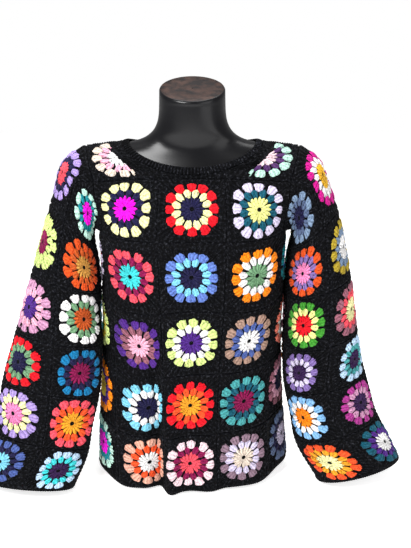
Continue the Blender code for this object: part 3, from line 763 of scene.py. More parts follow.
# Colours as they look in daylight, red, green and blue from 0 to 255
YARNS = dict(
    cream=(244, 240, 176), navy=(22, 20, 62), magenta=(250, 4, 225), red=(238, 12, 32),
    lilac=(214, 204, 232), dark_teal=(10, 84, 104), lemon=(240, 240, 150), coral=(240, 80, 96),
    burgundy=(132, 8, 72), turquoise=(62, 208, 212), periwinkle=(96, 124, 200),
    light_blue=(128, 208, 236), orange=(255, 136, 8), white=(242, 240, 240), sage=(112, 156, 116),
    purple=(78, 36, 132), mauve=(150, 92, 108), pink=(244, 176, 200), lime=(212, 232, 140),
    taupe=(166, 134, 118), denim=(74, 94, 160), salmon=(250, 128, 108), yellow=(250, 214, 60),
    pale_pink=(244, 214, 222), beige=(228, 212, 196), mint=(186, 228, 212), plum=(106, 30, 86),
    teal=(16, 132, 142), gold=(240, 184, 40), grey_blue=(118, 140, 168), rust=(196, 84, 28),
    bright_blue=(36, 104, 214), pale_blue=(184, 212, 240), slate=(84, 100, 132),
    green=(62, 148, 44), amber=(236, 160, 36), dark_purple=(50, 22, 72), orange_red=(250, 84, 36),
    sea=(70, 158, 160), peach=(232, 172, 150), dusk=(138, 112, 128), lavender=(170, 146, 212),
    burnt_orange=(220, 78, 22), gold_brown=(200, 144, 64), orchid=(204, 146, 182),
    petrol=(12, 116, 168), rose=(238, 136, 188), cerise=(204, 18, 138), mustard=(176, 152, 44),
    dusty_purple=(128, 104, 168), plum_pink=(168, 52, 138), sky=(128, 180, 228),
    aubergine=(82, 46, 100),
)
YARN_ORDER = {name: i + 1 for i, name in enumerate(YARNS)}


def linear(value):
    share = value / 255
    return share / 12.92 if share <= 0.04045 else ((share + 0.055) / 1.055) ** 2.4


class Shader:
    """A node material with its Principled shader, and short ways to add and join nodes."""

    def __init__(self, name, roughness):
        self.material = bpy.data.materials.new(name)
        self.material.use_nodes = True
        self.nodes = self.material.node_tree.nodes
        self.links = self.material.node_tree.links
        self.surface = self.nodes["Principled BSDF"]
        self.set(Roughness=roughness)

    def set(self, **values):
        for name, value in values.items():
            self.surface.inputs[name.replace("_", " ")].default_value = value

    def node(self, kind, values=None, **settings):
        node = self.nodes.new(kind)
        for name, value in settings.items():
            setattr(node, name, value)
        for name, value in (values or {}).items():
            node.inputs[name].default_value = value
        return node

    def join(self, a, out, b, into):
        self.links.new(a.outputs[out], b.inputs[into])

    def colour(self, source, out):
        self.join(source, out, self.surface, "Base Color")

    def relief(self, bump):
        self.join(bump, "Normal", self.surface, "Normal")

    def noise(self, scale, detail=2.0, roughness=0.5):
        place = self.node("ShaderNodeTexCoord")
        noise = self.node("ShaderNodeTexNoise", {"Scale": scale, "Detail": detail, "Roughness": roughness})
        self.join(place, "Object", noise, "Vector")
        return noise

    def wave(self, scale, direction, distortion):
        """Bands across the UVs, one to each unit at UNIT_WAVE and dark at whole numbers."""
        place = self.node("ShaderNodeTexCoord")
        values = {"Scale": scale, "Distortion": distortion, "Detail": 2.0, "Detail Scale": 2.0}
        values["Phase Offset"] = -math.pi / 2
        wave = self.node("ShaderNodeTexWave", values, bands_direction=direction)
        self.join(place, "UV", wave, "Vector")
        return wave

    def shade(self, colour, dark, factor, out="Color"):
        """Multiplies a colour by a pattern, by the given share: painted shade where the pattern is dark."""
        mix = self.node("ShaderNodeMix", {"Factor": factor}, data_type="RGBA", blend_type="MULTIPLY")
        self.links.new(colour.outputs[out], mix.inputs[6])
        self.links.new(dark.outputs["Color"], mix.inputs[7])
        return mix

    def ramp(self, source, stops):
        ramp = self.node("ShaderNodeValToRGB")
        band = ramp.color_ramp
        while len(band.elements) < len(stops):
            band.elements.new(0.5)
        for element, (at, colour) in zip(band.elements, stops):
            element.position = at
            element.color = (*colour, 1)
        self.join(source, 0, ramp, "Fac")
        return ramp

    def bump(self, source, distance, strength=1.0, after=None, out=0):
        bump = self.node("ShaderNodeBump", {"Strength": strength, "Distance": distance})
        self.join(source, out, bump, "Height")
        if after:
            self.join(after, "Normal", bump, "Normal")
        return bump


# Sizes of the noises in the materials
FIBRE_SCALE = 900.0
MOTTLE_SCALE = 330.0
BLACK_MOTTLE_SCALE = 320.0
BOARD_SCALE = 60.0
BOARD_GRAIN_SCALE = 300.0
SHELL_TONE_SCALE = 9.0
SHELL_WAVE_SCALE = 14.0
FLOOR_SCALE = 3.0
PLY_WAVE = 0.63
UNIT_WAVE = 0.314
# How much painted shade darkens a yarn's colour in the grooves between its strands
PAINTED_STRAND_SHADE = 0.38
# How a yarn's dark and light strands differ from its own colour
DARK_SHARE = 0.45
LIGHT_SHARE = 1.12
LIGHT_ADDED = 0.02


def yarn_material(name, daylight):
    """Dyed wool: soft mottling from strand to strand, painted shade in the grooves between strands, twisted
    plies and fine fuzz.
    """
    shader = Shader("yarn_" + name, 0.9)
    colour = [linear(v) for v in daylight]
    dark = [c * DARK_SHARE for c in colour]
    light = [min(1.0, c * LIGHT_SHARE + LIGHT_ADDED) for c in colour]
    stops = [(0.36, dark), (0.48, colour), (0.68, light)]
    ramp = shader.ramp(shader.noise(MOTTLE_SCALE, 4.0, 0.62), stops)
    # Painted shade: bands that darken the colour where the strands of a petal meet
    strands = shader.wave(UNIT_WAVE, "X", 2.5)
    shader.colour(shader.shade(ramp, strands, PAINTED_STRAND_SHADE), 2)
    shader.set(Sheen_Weight=0.06, Sheen_Roughness=0.5, Specular_IOR_Level=0.12)
    plies = shader.bump(shader.wave(PLY_WAVE, "DIAGONAL", 1.2), 0.0006, 0.8, out="Fac")
    shader.relief(shader.bump(shader.noise(FIBRE_SCALE, 3.0, 0.65), 0.0004, 0.7, after=plies))
    return shader.material


# Tones of the black yarn at random; the lightest is a painted highlight on its fibres
BLACK_DEEP = (0.0006, 0.0007, 0.0013)
BLACK_MID = (0.0036, 0.0040, 0.0062)
BLACK_FIBRE_PAINTED_HIGHLIGHT = (0.0850, 0.0880, 0.1050)


def black_yarn_material(name="yarn_black", painted_stitch_shade=0.65, painted_row_shade=0.55):
    """The black ground: worked in stitches, with painted highlights on its fibres and painted shade in the
    grooves between its stitches and rows.
    """
    shader = Shader(name, 0.86)
    stops = [(0.42, BLACK_DEEP), (0.54, BLACK_MID), (0.74, BLACK_FIBRE_PAINTED_HIGHLIGHT)]
    ramp = shader.ramp(shader.noise(BLACK_MOTTLE_SCALE, 5.0, 0.74), stops)
    shader.set(Sheen_Weight=0.015, Sheen_Roughness=0.4, Specular_IOR_Level=0.08)
    stitches = shader.wave(UNIT_WAVE, "X", 0.8)
    rows = shader.wave(UNIT_WAVE, "Y", 1.0)
    # Painted shade: the stitch and row bands darken the colour where the bumps below make grooves
    shaded = shader.shade(ramp, stitches, painted_stitch_shade)
    if painted_row_shade:
        shaded = shader.shade(shaded, rows, painted_row_shade, out=2)
    shader.colour(shaded, 2)
    stitch_bump = shader.bump(stitches, 0.0008, 0.8, out="Fac")
    row_bump = shader.bump(rows, 0.0006, 0.6, after=stitch_bump, out="Fac")
    shader.relief(shader.bump(shader.noise(FIBRE_SCALE, 3.0, 0.65), 0.0005, 0.8, after=row_bump))
    return shader.material


def form_material():
    """Polished black shell with a clear coat and the faint unevenness of a moulding."""
    shader = Shader("form_gloss_black", 0.30)
    stops = [(0.35, (0.002, 0.002, 0.003)), (0.7, (0.005, 0.005, 0.006))]
    shader.colour(shader.ramp(shader.noise(SHELL_TONE_SCALE), stops), "Color")
    shader.set(Coat_Weight=0.26, Coat_Roughness=0.24, Specular_IOR_Level=0.14)
    shader.relief(shader.bump(shader.noise(SHELL_WAVE_SCALE, 1.0), 0.0006, 0.5))
    return shader.material


def cap_material():
    """The brown board that closes the form's neck."""
    shader = Shader("form_cap_brown", 0.45)
    stops = [(0.38, (0.006, 0.003, 0.003)), (0.66, (0.045, 0.022, 0.016))]
    shader.colour(shader.ramp(shader.noise(BOARD_SCALE, 3.0), stops), "Color")
    shader.set(Specular_IOR_Level=0.14)
    shader.relief(shader.bump(shader.noise(BOARD_GRAIN_SCALE, 2.0), 0.0002, 0.5))
    return shader.material


FLOOR_GLOW = 0.75


def floor_material():
    shader = Shader("pale_floor", 0.9)
    stops = [(0.3, (0.90, 0.90, 0.90)), (0.7, (0.93, 0.93, 0.93))]
    shader.colour(shader.ramp(shader.noise(FLOOR_SCALE), stops), "Color")
    shader.set(Specular_IOR_Level=0.1, Emission_Color=(1, 1, 1, 1), Emission_Strength=FLOOR_GLOW)
    return shader.material


EDGE_CLEARANCE = 0.0012
WELD = 0.00001


def chart(text):
    """A line for each row of squares and a word for each square: outer ring, middle ring, centre."""
    return [line.split() for line in text.strip().splitlines()]


# Front, from the hem up and from the wearer's right to left
FRONT_CHART = chart("""
    peach/orange_red/white pale_pink/burgundy/coral dusk/lilac/beige
    light_blue/white/navy red/orange_red/amber sea/dark_teal/burgundy
    purple/mauve/pink lime/white/purple taupe/denim/white
    coral/burgundy/turquoise periwinkle/light_blue/navy orange/white/sage
    cream/navy/magenta red/cream/navy lilac/dark_teal/lemon
""")
# Back, from the hem up and from the wearer's left to right
BACK_CHART = chart("""
    mint/plum/gold orange/white/navy light_blue/magenta/cream
    coral/cream/dark_teal lilac/purple/lemon lime/teal/white
    white/red/navy turquoise/navy/salmon yellow/burgundy/pink
    denim/light_blue/white pink/mauve/sage red/orange/cream
    beige/teal/coral periwinkle/white/purple green/lemon/magenta
""")
# Side strips, from the hem up
SIDE_LEFT_CHART = chart("""
    slate/navy/lilac
    mauve/pink/navy
    salmon/white/plum
    teal/bright_blue/cream
""")
SIDE_RIGHT_CHART = chart("""
    mint/teal/magenta
    orange/purple/yellow
    lime/yellow/green
    lilac/red/navy
""")
SHOULDER_LEFT_SQUARE = "mint/aubergine/pale_pink"
SHOULDER_RIGHT_SQUARE = "beige/pink/white"
# Sleeves, from the shoulder down: the outer, front, under and back columns
SLEEVE_LEFT_CHART = chart("""
    cerise/white/gold grey_blue/slate/navy cream/teal/navy lime/navy/coral
    mustard/grey_blue/white burnt_orange/dusty_purple/rose turquoise/plum/white red/cream/purple
    mauve/coral/cream green/lemon/red pink/denim/yellow light_blue/white/magenta
    pale_blue/sea/dark_purple dusty_purple/lilac/dark_purple orange/sage/white mauve/gold/teal
    plum_pink/orchid/dark_purple sky/white/orange lemon/burgundy/mint periwinkle/cream/red
    dark_teal/purple/white orange_red/amber/cream white/navy/pink salmon/turquoise/purple
""")
SLEEVE_RIGHT_CHART = chart("""
    lavender/navy/coral mint/teal/magenta gold/white/plum denim/orange/cream
    lime/lime/burgundy burnt_orange/rust/gold_brown lilac/teal/red cream/magenta/navy
    orchid/pink/purple white/sage/rust light_blue/navy/lemon coral/mint/dark_teal
    red/sage/navy petrol/navy/burgundy beige/purple/pink yellow/white/teal
    lavender/cream/rose coral/orange_red/amber turquoise/denim/white plum/lilac/gold
    denim/navy/light_blue pale_blue/turquoise/dark_purple red/cream/sage orange/teal/lilac
""")
# A shoulder's motif: how far up from the yoke line and in from the armhole it lies, the column up to
# which it is left off, and its radius
SHOULDER_MOTIF_UP = 0.056
SHOULDER_MOTIF_IN = 0.060
SHOULDER_MOTIF_KEEP = 0.34
SHOULDER_MOTIF_RADIUS = 0.054
# The squares as they come off the hook, and the flat pieces made without squares
CUT_SQUARE = 0.118
BAND_CUT = (0.72, 0.020)


class Panel:
    """The black ground of one panel and the motifs on it, gathered square by square."""

    def __init__(self, name, surface, inside_out, seed, tube=False):
        self.name, self.surface, self.inside_out, self.tube = name, surface, inside_out, tube
        self.trims = []
        self.ground, self.motifs = Pile(), Pile()
        self.random = np.random.default_rng(seed)
        self.low = surface.low
        self.high = (surface.low[0] + surface.squares[0], surface.low[1] + surface.squares[1])

    def faced(self, faces):
        return faces[:, ::-1] if self.inside_out else faces

    def drawn_in(self, columns, rows):
        """Keeps clear of the neighbours by a hair at the panel's own edges."""
        rows = np.clip(rows, self.low[1] + EDGE_CLEARANCE, self.high[1] - EDGE_CLEARANCE)
        if not self.tube:
            columns = np.clip(columns, self.low[0] + EDGE_CLEARANCE, self.high[0] - EDGE_CLEARANCE)
        return columns, rows

    def add_ground(self, column, row):
        points, heights, faces, uvs = GROUND
        columns, rows = self.drawn_in(column + 0.5 + points[:, 0], row + 0.5 + points[:, 1])
        placed = self.surface.at(columns, rows, heights)
        uvs = uvs + (column * STITCHES_A_SIDE, row * GROUND_UV_ROWS)
        self.ground.add(placed, triangle_order(self.faced(faces)), 0, uvs)

    def add_lining(self):
        """The wrong side of the ground, and the rim that joins both sides round the panel."""
        across, along = (round(squares * INNER_SPLITS) for squares in self.surface.squares)
        columns = np.linspace(self.low[0], self.high[0], across + 1)
        rows = np.linspace(self.low[1], self.high[1], along + 1)
        columns, rows = np.meshgrid(columns, rows)
        heights = np.full(columns.shape, INNER_SKIN)
        heights[[0, -1], :] = -SEAM_SKIN
        if not self.tube:
            heights[:, [0, -1]] = -SEAM_SKIN
        columns, rows = self.drawn_in(columns, rows)
        placed = self.surface.at(columns, rows, heights).reshape(-1, 3)
        uv = np.stack([columns, rows], 2).reshape(-1, 2) * STITCHES_A_SIDE
        faces = grid_faces(across + 1, along + 1, flip=True)
        self.ground.add(placed, self.faced(faces), 0, uv)
        for side in (0, 2) if self.tube else (0, 2, 1, 3):
            self.add_rim(self.rim_line(side, GROUND_SIDES), self.rim_line(side, INNER_SPLITS))

    def rim_line(self, side, splits):
        """Places along one side of the panel, counterclockwise, where the fine line is the outer one."""
        height = SEAM_SKIN if splits == GROUND_SIDES else -SEAM_SKIN
        (u0, v0), (u1, v1) = self.low, self.high
        corners = [(u0, v0), (u1, v0), (u1, v1), (u0, v1)]
        start, end = np.array(corners[side]), np.array(corners[(side + 1) % 4])
        count = round(abs(end - start).sum() * splits)
        line = start + (end - start) * np.linspace(0, 1, count + 1)[:, None]
        columns, rows = self.drawn_in(line[:, 0], line[:, 1])
        return self.surface.at(columns, rows, np.full(len(line), height))

    def add_rim(self, fine, coarse):
        ratio = (len(fine) - 1) // (len(coarse) - 1)
        offset = len(fine)
        faces = []
        for i in range(len(coarse) - 1):
            for k in range(ratio):
                near = i if k < ratio / 2 else i + 1
                faces.append((i * ratio + k, offset + near, i * ratio + k + 1, i * ratio + k + 1))
            middle = i * ratio + ratio // 2
            faces.append((middle, offset + i, offset + i + 1, offset + i + 1))
        faces = np.array(faces)
        placed = np.concatenate([fine, coarse])
        self.ground.add(placed, triangle_order(self.faced(faces)), 0, np.zeros((len(placed), 2)))

    def lay_motif(self, yarns, place, keep=-math.inf):
        """Both sides of a motif. What would lie at or before the column given as keep is left off."""
        slots = np.array([YARN_ORDER[name] for name in yarns.split("/")[::-1]])
        for geometry, base in (
            (motif_geometry(self.random), OUTER_SKIN),
            (inner_motif_geometry(), INNER_SKIN),
        ):
            x, y, rise, faces, parts, uvs = geometry
            columns, rows = place(x, y)
            used = (columns > keep)[faces].all(axis=1)
            placed = self.surface.at(columns, rows, base + rise)
            self.motifs.add(placed, triangle_order(self.faced(faces[used])), slots[parts[used]], uvs)

    def add_motif(self, column, row, yarns):
        """A motif in the square whose lowest corner is given, kept round whatever the square's shape."""
        width, length = self.surface.square_size(column, row)
        radius = min(MOTIF_RADIUS, MOTIF_FIT * min(width, length))
        radius *= self.random.uniform(1 - SIZE_PLAY, 1 + SIZE_PLAY)
        u = column + 0.5 + self.random.uniform(-PLACE_PLAY, PLACE_PLAY)
        v = row + 0.5 + self.random.uniform(-PLACE_PLAY, PLACE_PLAY)
        self.lay_motif(yarns, lambda x, y: (u + x * radius / width, v + y * radius / length))

    def add_shoulder_motif(self, yarns):
        """A full circle laid out from the armhole side. What would pass under the neckband is left off."""
        length = float(self.surface.length.mean())
        widths = self.surface.width.mean(axis=1)

        def place(x, y):
            rows = (SHOULDER_MOTIF_UP + y * SHOULDER_MOTIF_RADIUS) / length
            width = np.interp(rows, np.linspace(0, 1, len(widths)), widths)
            return 1 - (SHOULDER_MOTIF_IN - x * SHOULDER_MOTIF_RADIUS) / width, rows

        self.lay_motif(yarns, place, SHOULDER_MOTIF_KEEP)

    def finish(self, materials):
        ground = self.ground.object(self.name + "_ground", materials[:1], weld=WELD)
        pieces = [self.motifs.object(self.name + "_motifs", materials), *self.trims]
        for piece in (ground, *pieces):
            stand_for(piece, self.name)
        flat = tuple(squares * CUT_SQUARE for squares in self.surface.squares)


def triangle_order(faces):
    """Puts the doubled corner of each triangle last, as Pile expects."""
    doubled_first = faces[:, 0] == faces[:, 1]
    faces = faces.copy()
    faces[doubled_first] = faces[doubled_first][:, [1, 2, 3, 3]]
    return faces


GROUND = ground_template()


def front_place(column, row):
    if row <= BODY_ROWS_BELOW_ARM:
        return body_place(column, row)
    return chest_place(column, row - BODY_ROWS_BELOW_ARM, True)


def back_place(column, row):
    if row <= BODY_ROWS_BELOW_ARM:
        return body_place(column + HALF_ROUND, row)
    return chest_place(column, row - BODY_ROWS_BELOW_ARM, False)


# How far the wearer's right column of the front, its side strip and the sleeves' squares are drawn aside
# at each height, in squares. Body rows count from the hem, sleeve rows from the shoulder.
FRONT_DRIFT = ((0.0, 0.5, 1.5, 2.5, 3.5, 4.5), (0.14, 0.15, 0.16, 0.09, 0.04, 0.0))
SIDE_DRIFT = ((0.0, 0.5, 1.5, 2.5), (0.12, 0.13, 0.06, 0.0))
LEFT_SLEEVE_DRIFT = (
    (0.0, 0.5, 1.5, 2.5, 3.5, 4.5, 5.5, 6.0),
    (0.0, 0.03, 0.20, 0.24, 0.21, 0.17, 0.0, -0.05),
)
RIGHT_SLEEVE_DRIFT = ((3.0, 3.5, 4.5, 5.5, 6.0), (0.0, -0.10, -0.14, -0.14, -0.12))


def drawn_aside(drifts, low):
    """Squares of one column drawn aside between seams that stay where they are."""
    def drift(columns, rows):
        inside = (columns > low) & (columns < low + 1)
        return columns + inside * np.interp(rows, *drifts) * np.sin(math.pi * (columns - low))
    return drift


def turned(drifts):
    """A tube's squares turned round it, by a share of a square that changes along the tube."""
    def drift(columns, rows):
        return columns + np.interp(rows, *drifts)
    return drift


def dress_panel(name, place, low, squares, seed, drift, materials, tube=False, is_right=False):
    """A panel of squares from its chart. Rows count from the hem, or on a sleeve from the shoulder."""
    columns, rows = (low, low + len(squares[0])), (0, len(squares))
    surface = Surface(place, columns, rows, is_right)
    if tube:
        surface.close_round()
    surface.drift = drift
    panel = Panel(name, surface, is_right, seed, tube=tube)
    for row, line in enumerate(squares):
        for column, yarns in enumerate(line):
            panel.add_ground(low + column, row)
            panel.add_motif(low + column, row, yarns)
    panel.add_lining()
    edge = rows[1] if tube else 0
    panel.trims.append(edging(name + "_edging", surface, edge, columns, tube, materials))
    if name in ("front", "back"):
        panel.finish(materials)
    else:
        panel.finish(materials)


def dress_body(materials):
    """Front, back and the two side strips."""
    low, right = -HALF_FRONT, -HALF_FRONT - 1
    dress_panel("front", front_place, low, FRONT_CHART, 11, drawn_aside(FRONT_DRIFT, low), materials)
    dress_panel("back", back_place, low, BACK_CHART, 12, None, materials)
    dress_panel("side_left", body_place, HALF_FRONT, SIDE_LEFT_CHART, 13, None, materials)
    drift = drawn_aside(SIDE_DRIFT, right)
    dress_panel("side_right", body_place, right, SIDE_RIGHT_CHART, 14, drift, materials)


def dress_shoulders(materials):
    """One square over each shoulder. The neckband cuts across its motif, which is full size otherwise."""
    for name, yarns, is_right, seed in (
        ("shoulder_left", SHOULDER_LEFT_SQUARE, False, 15),
        ("shoulder_right", SHOULDER_RIGHT_SQUARE, True, 16),
    ):
        def place(across, along):
            point = shoulder_place(along * OVER_SHOULDER_SPLITS, across)
            return mirror_x(point) if is_right else point

        surface = Surface(place, (0, 1), (0, 1), is_right, per_square=OVER_SHOULDER_SPLITS)
        panel = Panel(name, surface, is_right, seed)
        panel.add_ground(0, 0)
        panel.add_shoulder_motif(yarns)
        panel.add_lining()
        panel.finish(materials)


def dress_sleeves(materials):
    """Two tubes of four columns and six rows."""
    def left(column, row):
        return sleeve_place(WEARERS_LEFT_SLEEVE, column, row, False)

    def right(column, row):
        return mirror_x(sleeve_place(WEARERS_RIGHT_SLEEVE, column, row, True))

    for name, place, squares, seed, drift, is_right in (
        ("sleeve_left", left, SLEEVE_LEFT_CHART, 17, turned(LEFT_SLEEVE_DRIFT), False),
        ("sleeve_right", right, SLEEVE_RIGHT_CHART, 18, drawn_aside(RIGHT_SLEEVE_DRIFT, 1), True),
    ):
        dress_panel(name, place, 0, squares, seed, drift, materials, tube=True, is_right=is_right)


def travelled(points):
    """How far along a line of points each of them is."""
    return np.concatenate([[0], np.cumsum(np.linalg.norm(np.diff(points, axis=0), axis=1))])


UV_STEP_ROUND = 0.4


def tube_object(name, rings, along, materials, **grid):
    """A tube from rings of points that run along it. The last ring repeats the first."""
    uv_along = np.tile(along, len(rings))
    uv_round = np.repeat(np.arange(len(rings)) * UV_STEP_ROUND, len(along))
    pile = Pile()
    faces = grid_faces(len(along), len(rings), **grid)
    pile.add(np.concatenate(rings), faces, 0, np.stack([uv_along, uv_round], 1))
    return pile.object(name, materials, weld=WELD)


RIBS = 112
SAMPLES_A_RIB = 5
BAND_HALF_THICKNESS = 0.0017
RIB_RISE = 0.0015
BAND_SECTION = 12
BAND_INSET = 0.0006
BAND_FULLNESS = 0.7
BAND_TURNS = 721


def dress_neckband():
    """The ribbed band: an oval section carried round the neck, with its ribs at even steps."""
    def edges(turns):
        return (np.array([neck_place(ring, t) for t in turns]) for ring in (BAND_FOOT, NECK_EDGE))

    turns = np.linspace(0, 2 * math.pi, BAND_TURNS)
    foot, edge = edges(turns)
    travel = travelled((foot + edge) / 2)
    count = RIBS * SAMPLES_A_RIB
    foot, edge = edges(np.interp(np.arange(count) / count * travel[-1], travel, turns))
    around = np.roll(foot, -1, axis=0) - np.roll(foot, 1, axis=0)
    up = edge - foot
    outward = unit(np.cross(around, up))
    rib = 2 * np.abs(np.cos(math.pi * np.arange(count) / SAMPLES_A_RIB)) - 1
    start = BAND_INSET / BAND_CUT[1]
    rings = []
    for k in range(BAND_SECTION):
        bend = 2 * math.pi * k / BAND_SECTION
        rise = 0.5 - 0.5 * signed_power(math.cos(bend), BAND_FULLNESS)
        side = signed_power(math.sin(bend), BAND_FULLNESS)
        thick = side * (BAND_HALF_THICKNESS + max(side, 0) * RIB_RISE * rib)
        rings.append(foot + up * (start + rise * (1 - start)) + outward * np.reshape(thick, (-1, 1)))
    # The ribs get painted shade along their stitch bands, and none along the rows
    ribbed = black_yarn_material("yarn_black_ribs", painted_stitch_shade=0.95, painted_row_shade=0)
    along = np.arange(count) / SAMPLES_A_RIB
    band = tube_object("neckband_ribs", rings + rings[:1], along, [ribbed], wrap=True)
    stand_for(band, "neckband")


FILL_ROWS = 3
FILL_STITCHES = 14
FILL_GRID = (61, 19)
FILL_ROW_RISE = 0.0007
FILL_STITCH_RISE = 0.0003
FILL_END = 0.03
# How steeply the cloth thins towards its long and short edges
FILL_TAPERS = (12, 40)


def dress_neck_fill(materials):
    """Plain rows of black between the front's middle square and the neckband."""
    def place(column, rise):
        return yoke_place(column).lerp(neck_place(BAND_FOOT, 2 * column * FILL_TURN), rise)

    surface = Surface(place, (-0.5, 0.5), (0, 1))
    half = 0.5 - EDGE_CLEARANCE
    top = 1 - FILL_END
    columns, rows = np.meshgrid(
        np.linspace(-half, half, FILL_GRID[0]), np.linspace(FILL_END, top, FILL_GRID[1])
    )
    ends = np.minimum(1, np.minimum(rows - FILL_END, top - rows) * FILL_TAPERS[0])
    ends = ends * np.minimum(1, (half - np.abs(columns)) * FILL_TAPERS[1])
    stitch = np.cos(2 * math.pi * columns * FILL_STITCHES) * FILL_STITCH_RISE
    row = FILL_ROW_RISE * np.cos(2 * math.pi * rows * FILL_ROWS)
    outer = SEAM_SKIN + ends * (OUTER_SKIN - SEAM_SKIN + row + stitch)
    inner = -SEAM_SKIN + ends * (INNER_SKIN + SEAM_SKIN)
    uv = np.stack([columns * FILL_STITCHES, rows * FILL_ROWS], 2).reshape(-1, 2)
    pile = Pile()
    for heights, flip in ((outer, False), (inner, True)):
        placed = surface.at(columns, rows, heights).reshape(-1, 3)
        pile.add(placed, grid_faces(*FILL_GRID, flip=flip), 0, uv)
    fill = pile.object("neck_fill_rows", materials[:1])
    edit_mesh(fill.data, close_rims)
    stand_for(fill, "neck_fill_front")


def close_rims(made):
    bmesh.ops.bridge_loops(made, edges=[e for e in made.edges if e.is_boundary])


EDGING_RADIUS = 0.0019
EDGING_SECTION = 8
EDGING_STITCH = 0.0045
EDGING_SAMPLES = 2001
SAMPLES_A_STITCH = 4
STITCH_SWELL = 0.22


def edging(name, surface, row, columns, closed, materials):
    """One worked row along an open edge, as a cord of small stitches."""
    fine = np.linspace(columns[0], columns[1], EDGING_SAMPLES)
    travel = travelled(surface.at(fine, np.full(len(fine), row), np.zeros(len(fine))))
    count = round(travel[-1] / EDGING_STITCH) * SAMPLES_A_STITCH
    ends = count if closed else count + 1
    even = np.interp(np.arange(ends) / count * travel[-1], travel, fine)
    rows = np.full(ends, row)
    middle = surface.at(even, rows, np.zeros(ends))
    normal = unit(surface.read(surface.normals, even, rows))
    if closed:
        ahead = unit(np.roll(middle, -1, axis=0) - np.roll(middle, 1, axis=0))
    else:
        ahead = unit(np.gradient(middle, axis=0))
    aside = np.cross(ahead, normal)
    along = np.arange(ends) / SAMPLES_A_STITCH
    radius = (EDGING_RADIUS * (1 + STITCH_SWELL * np.cos(2 * math.pi * along)))[:, None]
    rings = []
    for k in range(EDGING_SECTION + 1):
        bend = 2 * math.pi * k / EDGING_SECTION
        rings.append(middle + (normal * math.cos(bend) + aside * math.sin(bend)) * radius)
    return tube_object(name, rings, along, materials[:1], flip=True, wrap=closed)


FORM_AROUND = 128
FORM_STEP = 0.0035
FORM_INSET = 0.0010
# Shares of the throat above the last level ring, of the rounded edge, and of the cap down to its middle
THROAT_SHARES = (0.33, 0.66, 1.0)
BEVEL_SHARES = (0.3, 0.7, 1.0)
CAP_SHARES = (0.75, 0.5, 0.25, 0.02)
BASE_MIDDLE_BACK = 0.05


def dress_dress_form(gloss, cap):
    """The form as one smooth shell, drawn in by a hair so that it stays clear of the cloth."""
    rings = []
    for low, high in zip(FORM_RINGS, FORM_RINGS[1:]):
        parts = max(1, round((high.height - low.height) / FORM_STEP))
        for k in range(parts):
            height = low.height + (high.height - low.height) * k / parts
            rings.append(form_ring(*row_at(FORM_RINGS, height)[1:], lambda y: height))
    top = FORM_RINGS[-1]
    rings.append(form_ring(*top[1:], lambda y: top.height))
    size = NECK_CUT_RADIUS
    for share in THROAT_SHARES:
        half = top.half_width + (size + NECK_CUT_WIDER - top.half_width) * share
        rise = lambda y: top.height + (cut_height(y) - NECK_CUT_BEVEL - top.height) * share
        rings.append(form_ring(half, size, size, 2.0, rise))
    for share in BEVEL_SHARES:
        size = NECK_CUT_RADIUS - NECK_CUT_BEVEL * share
        drop = NECK_CUT_BEVEL * (1 - share) ** 2
        rings.append(form_ring(size + NECK_CUT_WIDER, size, size, 2.0, lambda y: cut_height(y) - drop))
    cap_from = len(rings) - 1
    for share in CAP_SHARES:
        size = (NECK_CUT_RADIUS - NECK_CUT_BEVEL) * share
        rings.append(form_ring(size, size, size, 2.0, cut_height))
    points = np.array(rings).reshape(-1, 3)
    slots = (np.arange(len(rings) - 1) >= cap_from).astype(int).repeat(FORM_AROUND)
    pile = Pile()
    pile.add(points, grid_faces(FORM_AROUND, len(rings), wrap=True), slots, points[:, [0, 2]])
    i = np.arange(FORM_AROUND)
    foot = points[:FORM_AROUND]
    base = np.concatenate([foot, [[0, (foot[:, 1].max() - BASE_MIDDLE_BACK) / 2, 0]]])
    fan = np.stack([np.full(FORM_AROUND, FORM_AROUND), (i + 1) % FORM_AROUND, i, i], 1)
    pile.add(base, fan, 0, base[:, :2])
    form = pile.object("dress_form_shell", [gloss, cap], weld=WELD)
    draw_in(form)
    stand_for(form, "dress_form")


def cut_height(y):
    return NECK_CUT_HEIGHT + NECK_CUT_SLOPE * y


def form_ring(half_width, front_depth, back_depth, squareness, height_at):
    ring = []
    for i in range(FORM_AROUND):
        turn = 2 * math.pi * i / FORM_AROUND
        s, c = math.sin(turn), math.cos(turn)
        x = half_width * signed_power(s, 2 / squareness)
        y = -(front_depth if c > 0 else back_depth) * signed_power(c, 2 / squareness)
        ring.append((x, y, height_at(y)))
    return ring


def draw_in(form):
    """Moves the shell inwards along the level part of its normals, so the flat base stays on the floor."""
    mesh = form.data
    for vert, normal in zip(mesh.vertices, [n.vector.copy() for n in mesh.vertex_normals]):
        flat = Vector((normal.x, normal.y, 0))
        vert.co -= flat * FORM_INSET


def add_camera():
    data = bpy.data.cameras.new("camera")
    data.sensor_fit = "AUTO"
    data.sensor_width = SENSOR_MM
    data.lens = FOCAL_PIXELS * SENSOR_MM / IMAGE_HEIGHT
    camera = place_object("camera", data)
    camera.location = CAMERA_PLACE
    camera.rotation_euler = Euler((math.radians(90 - CAMERA_PITCH_DEG), 0, 0))
    bpy.context.scene.camera = camera


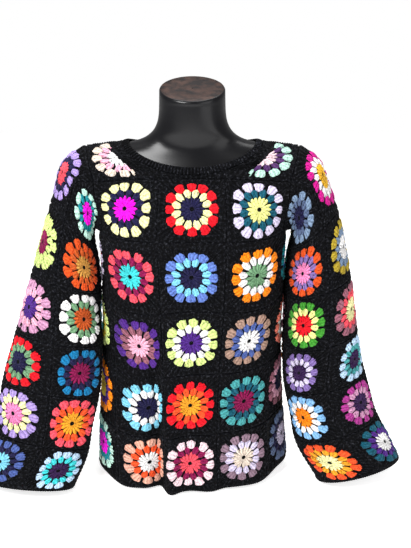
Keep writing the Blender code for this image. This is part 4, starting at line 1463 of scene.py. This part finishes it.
LIGHTS = table("name x y z size power aim_z", [
    ("key", -1.1, -1.5, 1.9, 0.9, 62, 0.40),
    ("fill", 1.5, -1.4, 1.1, 1.5, 15, 0.30),
    ("top", 0.1, 0.2, 2.1, 1.4, 27, 0.30),
])
# The world's strength where the camera sees it, and as light
WORLD_SEEN = 1.0
WORLD_FILL = 0.30


def add_lights():
    for light in LIGHTS:
        data = bpy.data.lights.new(light.name, "AREA")
        data.shape = "SQUARE"
        data.size = light.size
        data.energy = light.power
        lamp = place_object(light.name, data)
        lamp.location = (light.x, light.y, light.z)
        towards = Vector((0, 0, light.aim_z)) - lamp.location
        lamp.rotation_euler = towards.to_track_quat("-Z", "Y").to_euler()
    world = bpy.data.worlds.new("studio")
    world.use_nodes = True
    background = world.node_tree.nodes["Background"]
    background.inputs["Color"].default_value = (1, 1, 1, 1)
    path = world.node_tree.nodes.new("ShaderNodeLightPath")
    strength = world.node_tree.nodes.new("ShaderNodeMix")
    strength.inputs["A"].default_value = WORLD_FILL
    strength.inputs["B"].default_value = WORLD_SEEN
    world.node_tree.links.new(path.outputs["Is Camera Ray"], strength.inputs["Factor"])
    world.node_tree.links.new(strength.outputs["Result"], background.inputs["Strength"])
    bpy.context.scene.world = world


FLOOR_HALF = 6.0


def add_floor():
    mesh = bpy.data.meshes.new("floor")
    h = FLOOR_HALF
    mesh.from_pydata([(-h, -h, 0), (h, -h, 0), (h, h, 0), (-h, h, 0)], [], [(0, 1, 2, 3)])
    mesh.materials.append(floor_material())
    place_object("floor", mesh)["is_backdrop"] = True


def write_sizes():
    sizes = {"cad": CAD_BOX, "visual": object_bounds()}
    sizes = {name: [list(corner) for corner in box] for name, box in sizes.items()}


def main():
    bpy.context.scene.view_settings.view_transform = "Standard"
    add_camera()
    add_floor()
    add_lights()
    yarns = [yarn_material(name, daylight) for name, daylight in YARNS.items()]
    materials = [black_yarn_material(), *yarns]
    dress_body(materials)
    dress_shoulders(materials)
    dress_sleeves(materials)
    dress_neckband()
    dress_neck_fill(materials)
    dress_dress_form(form_material(), cap_material())
    write_sizes()


main()
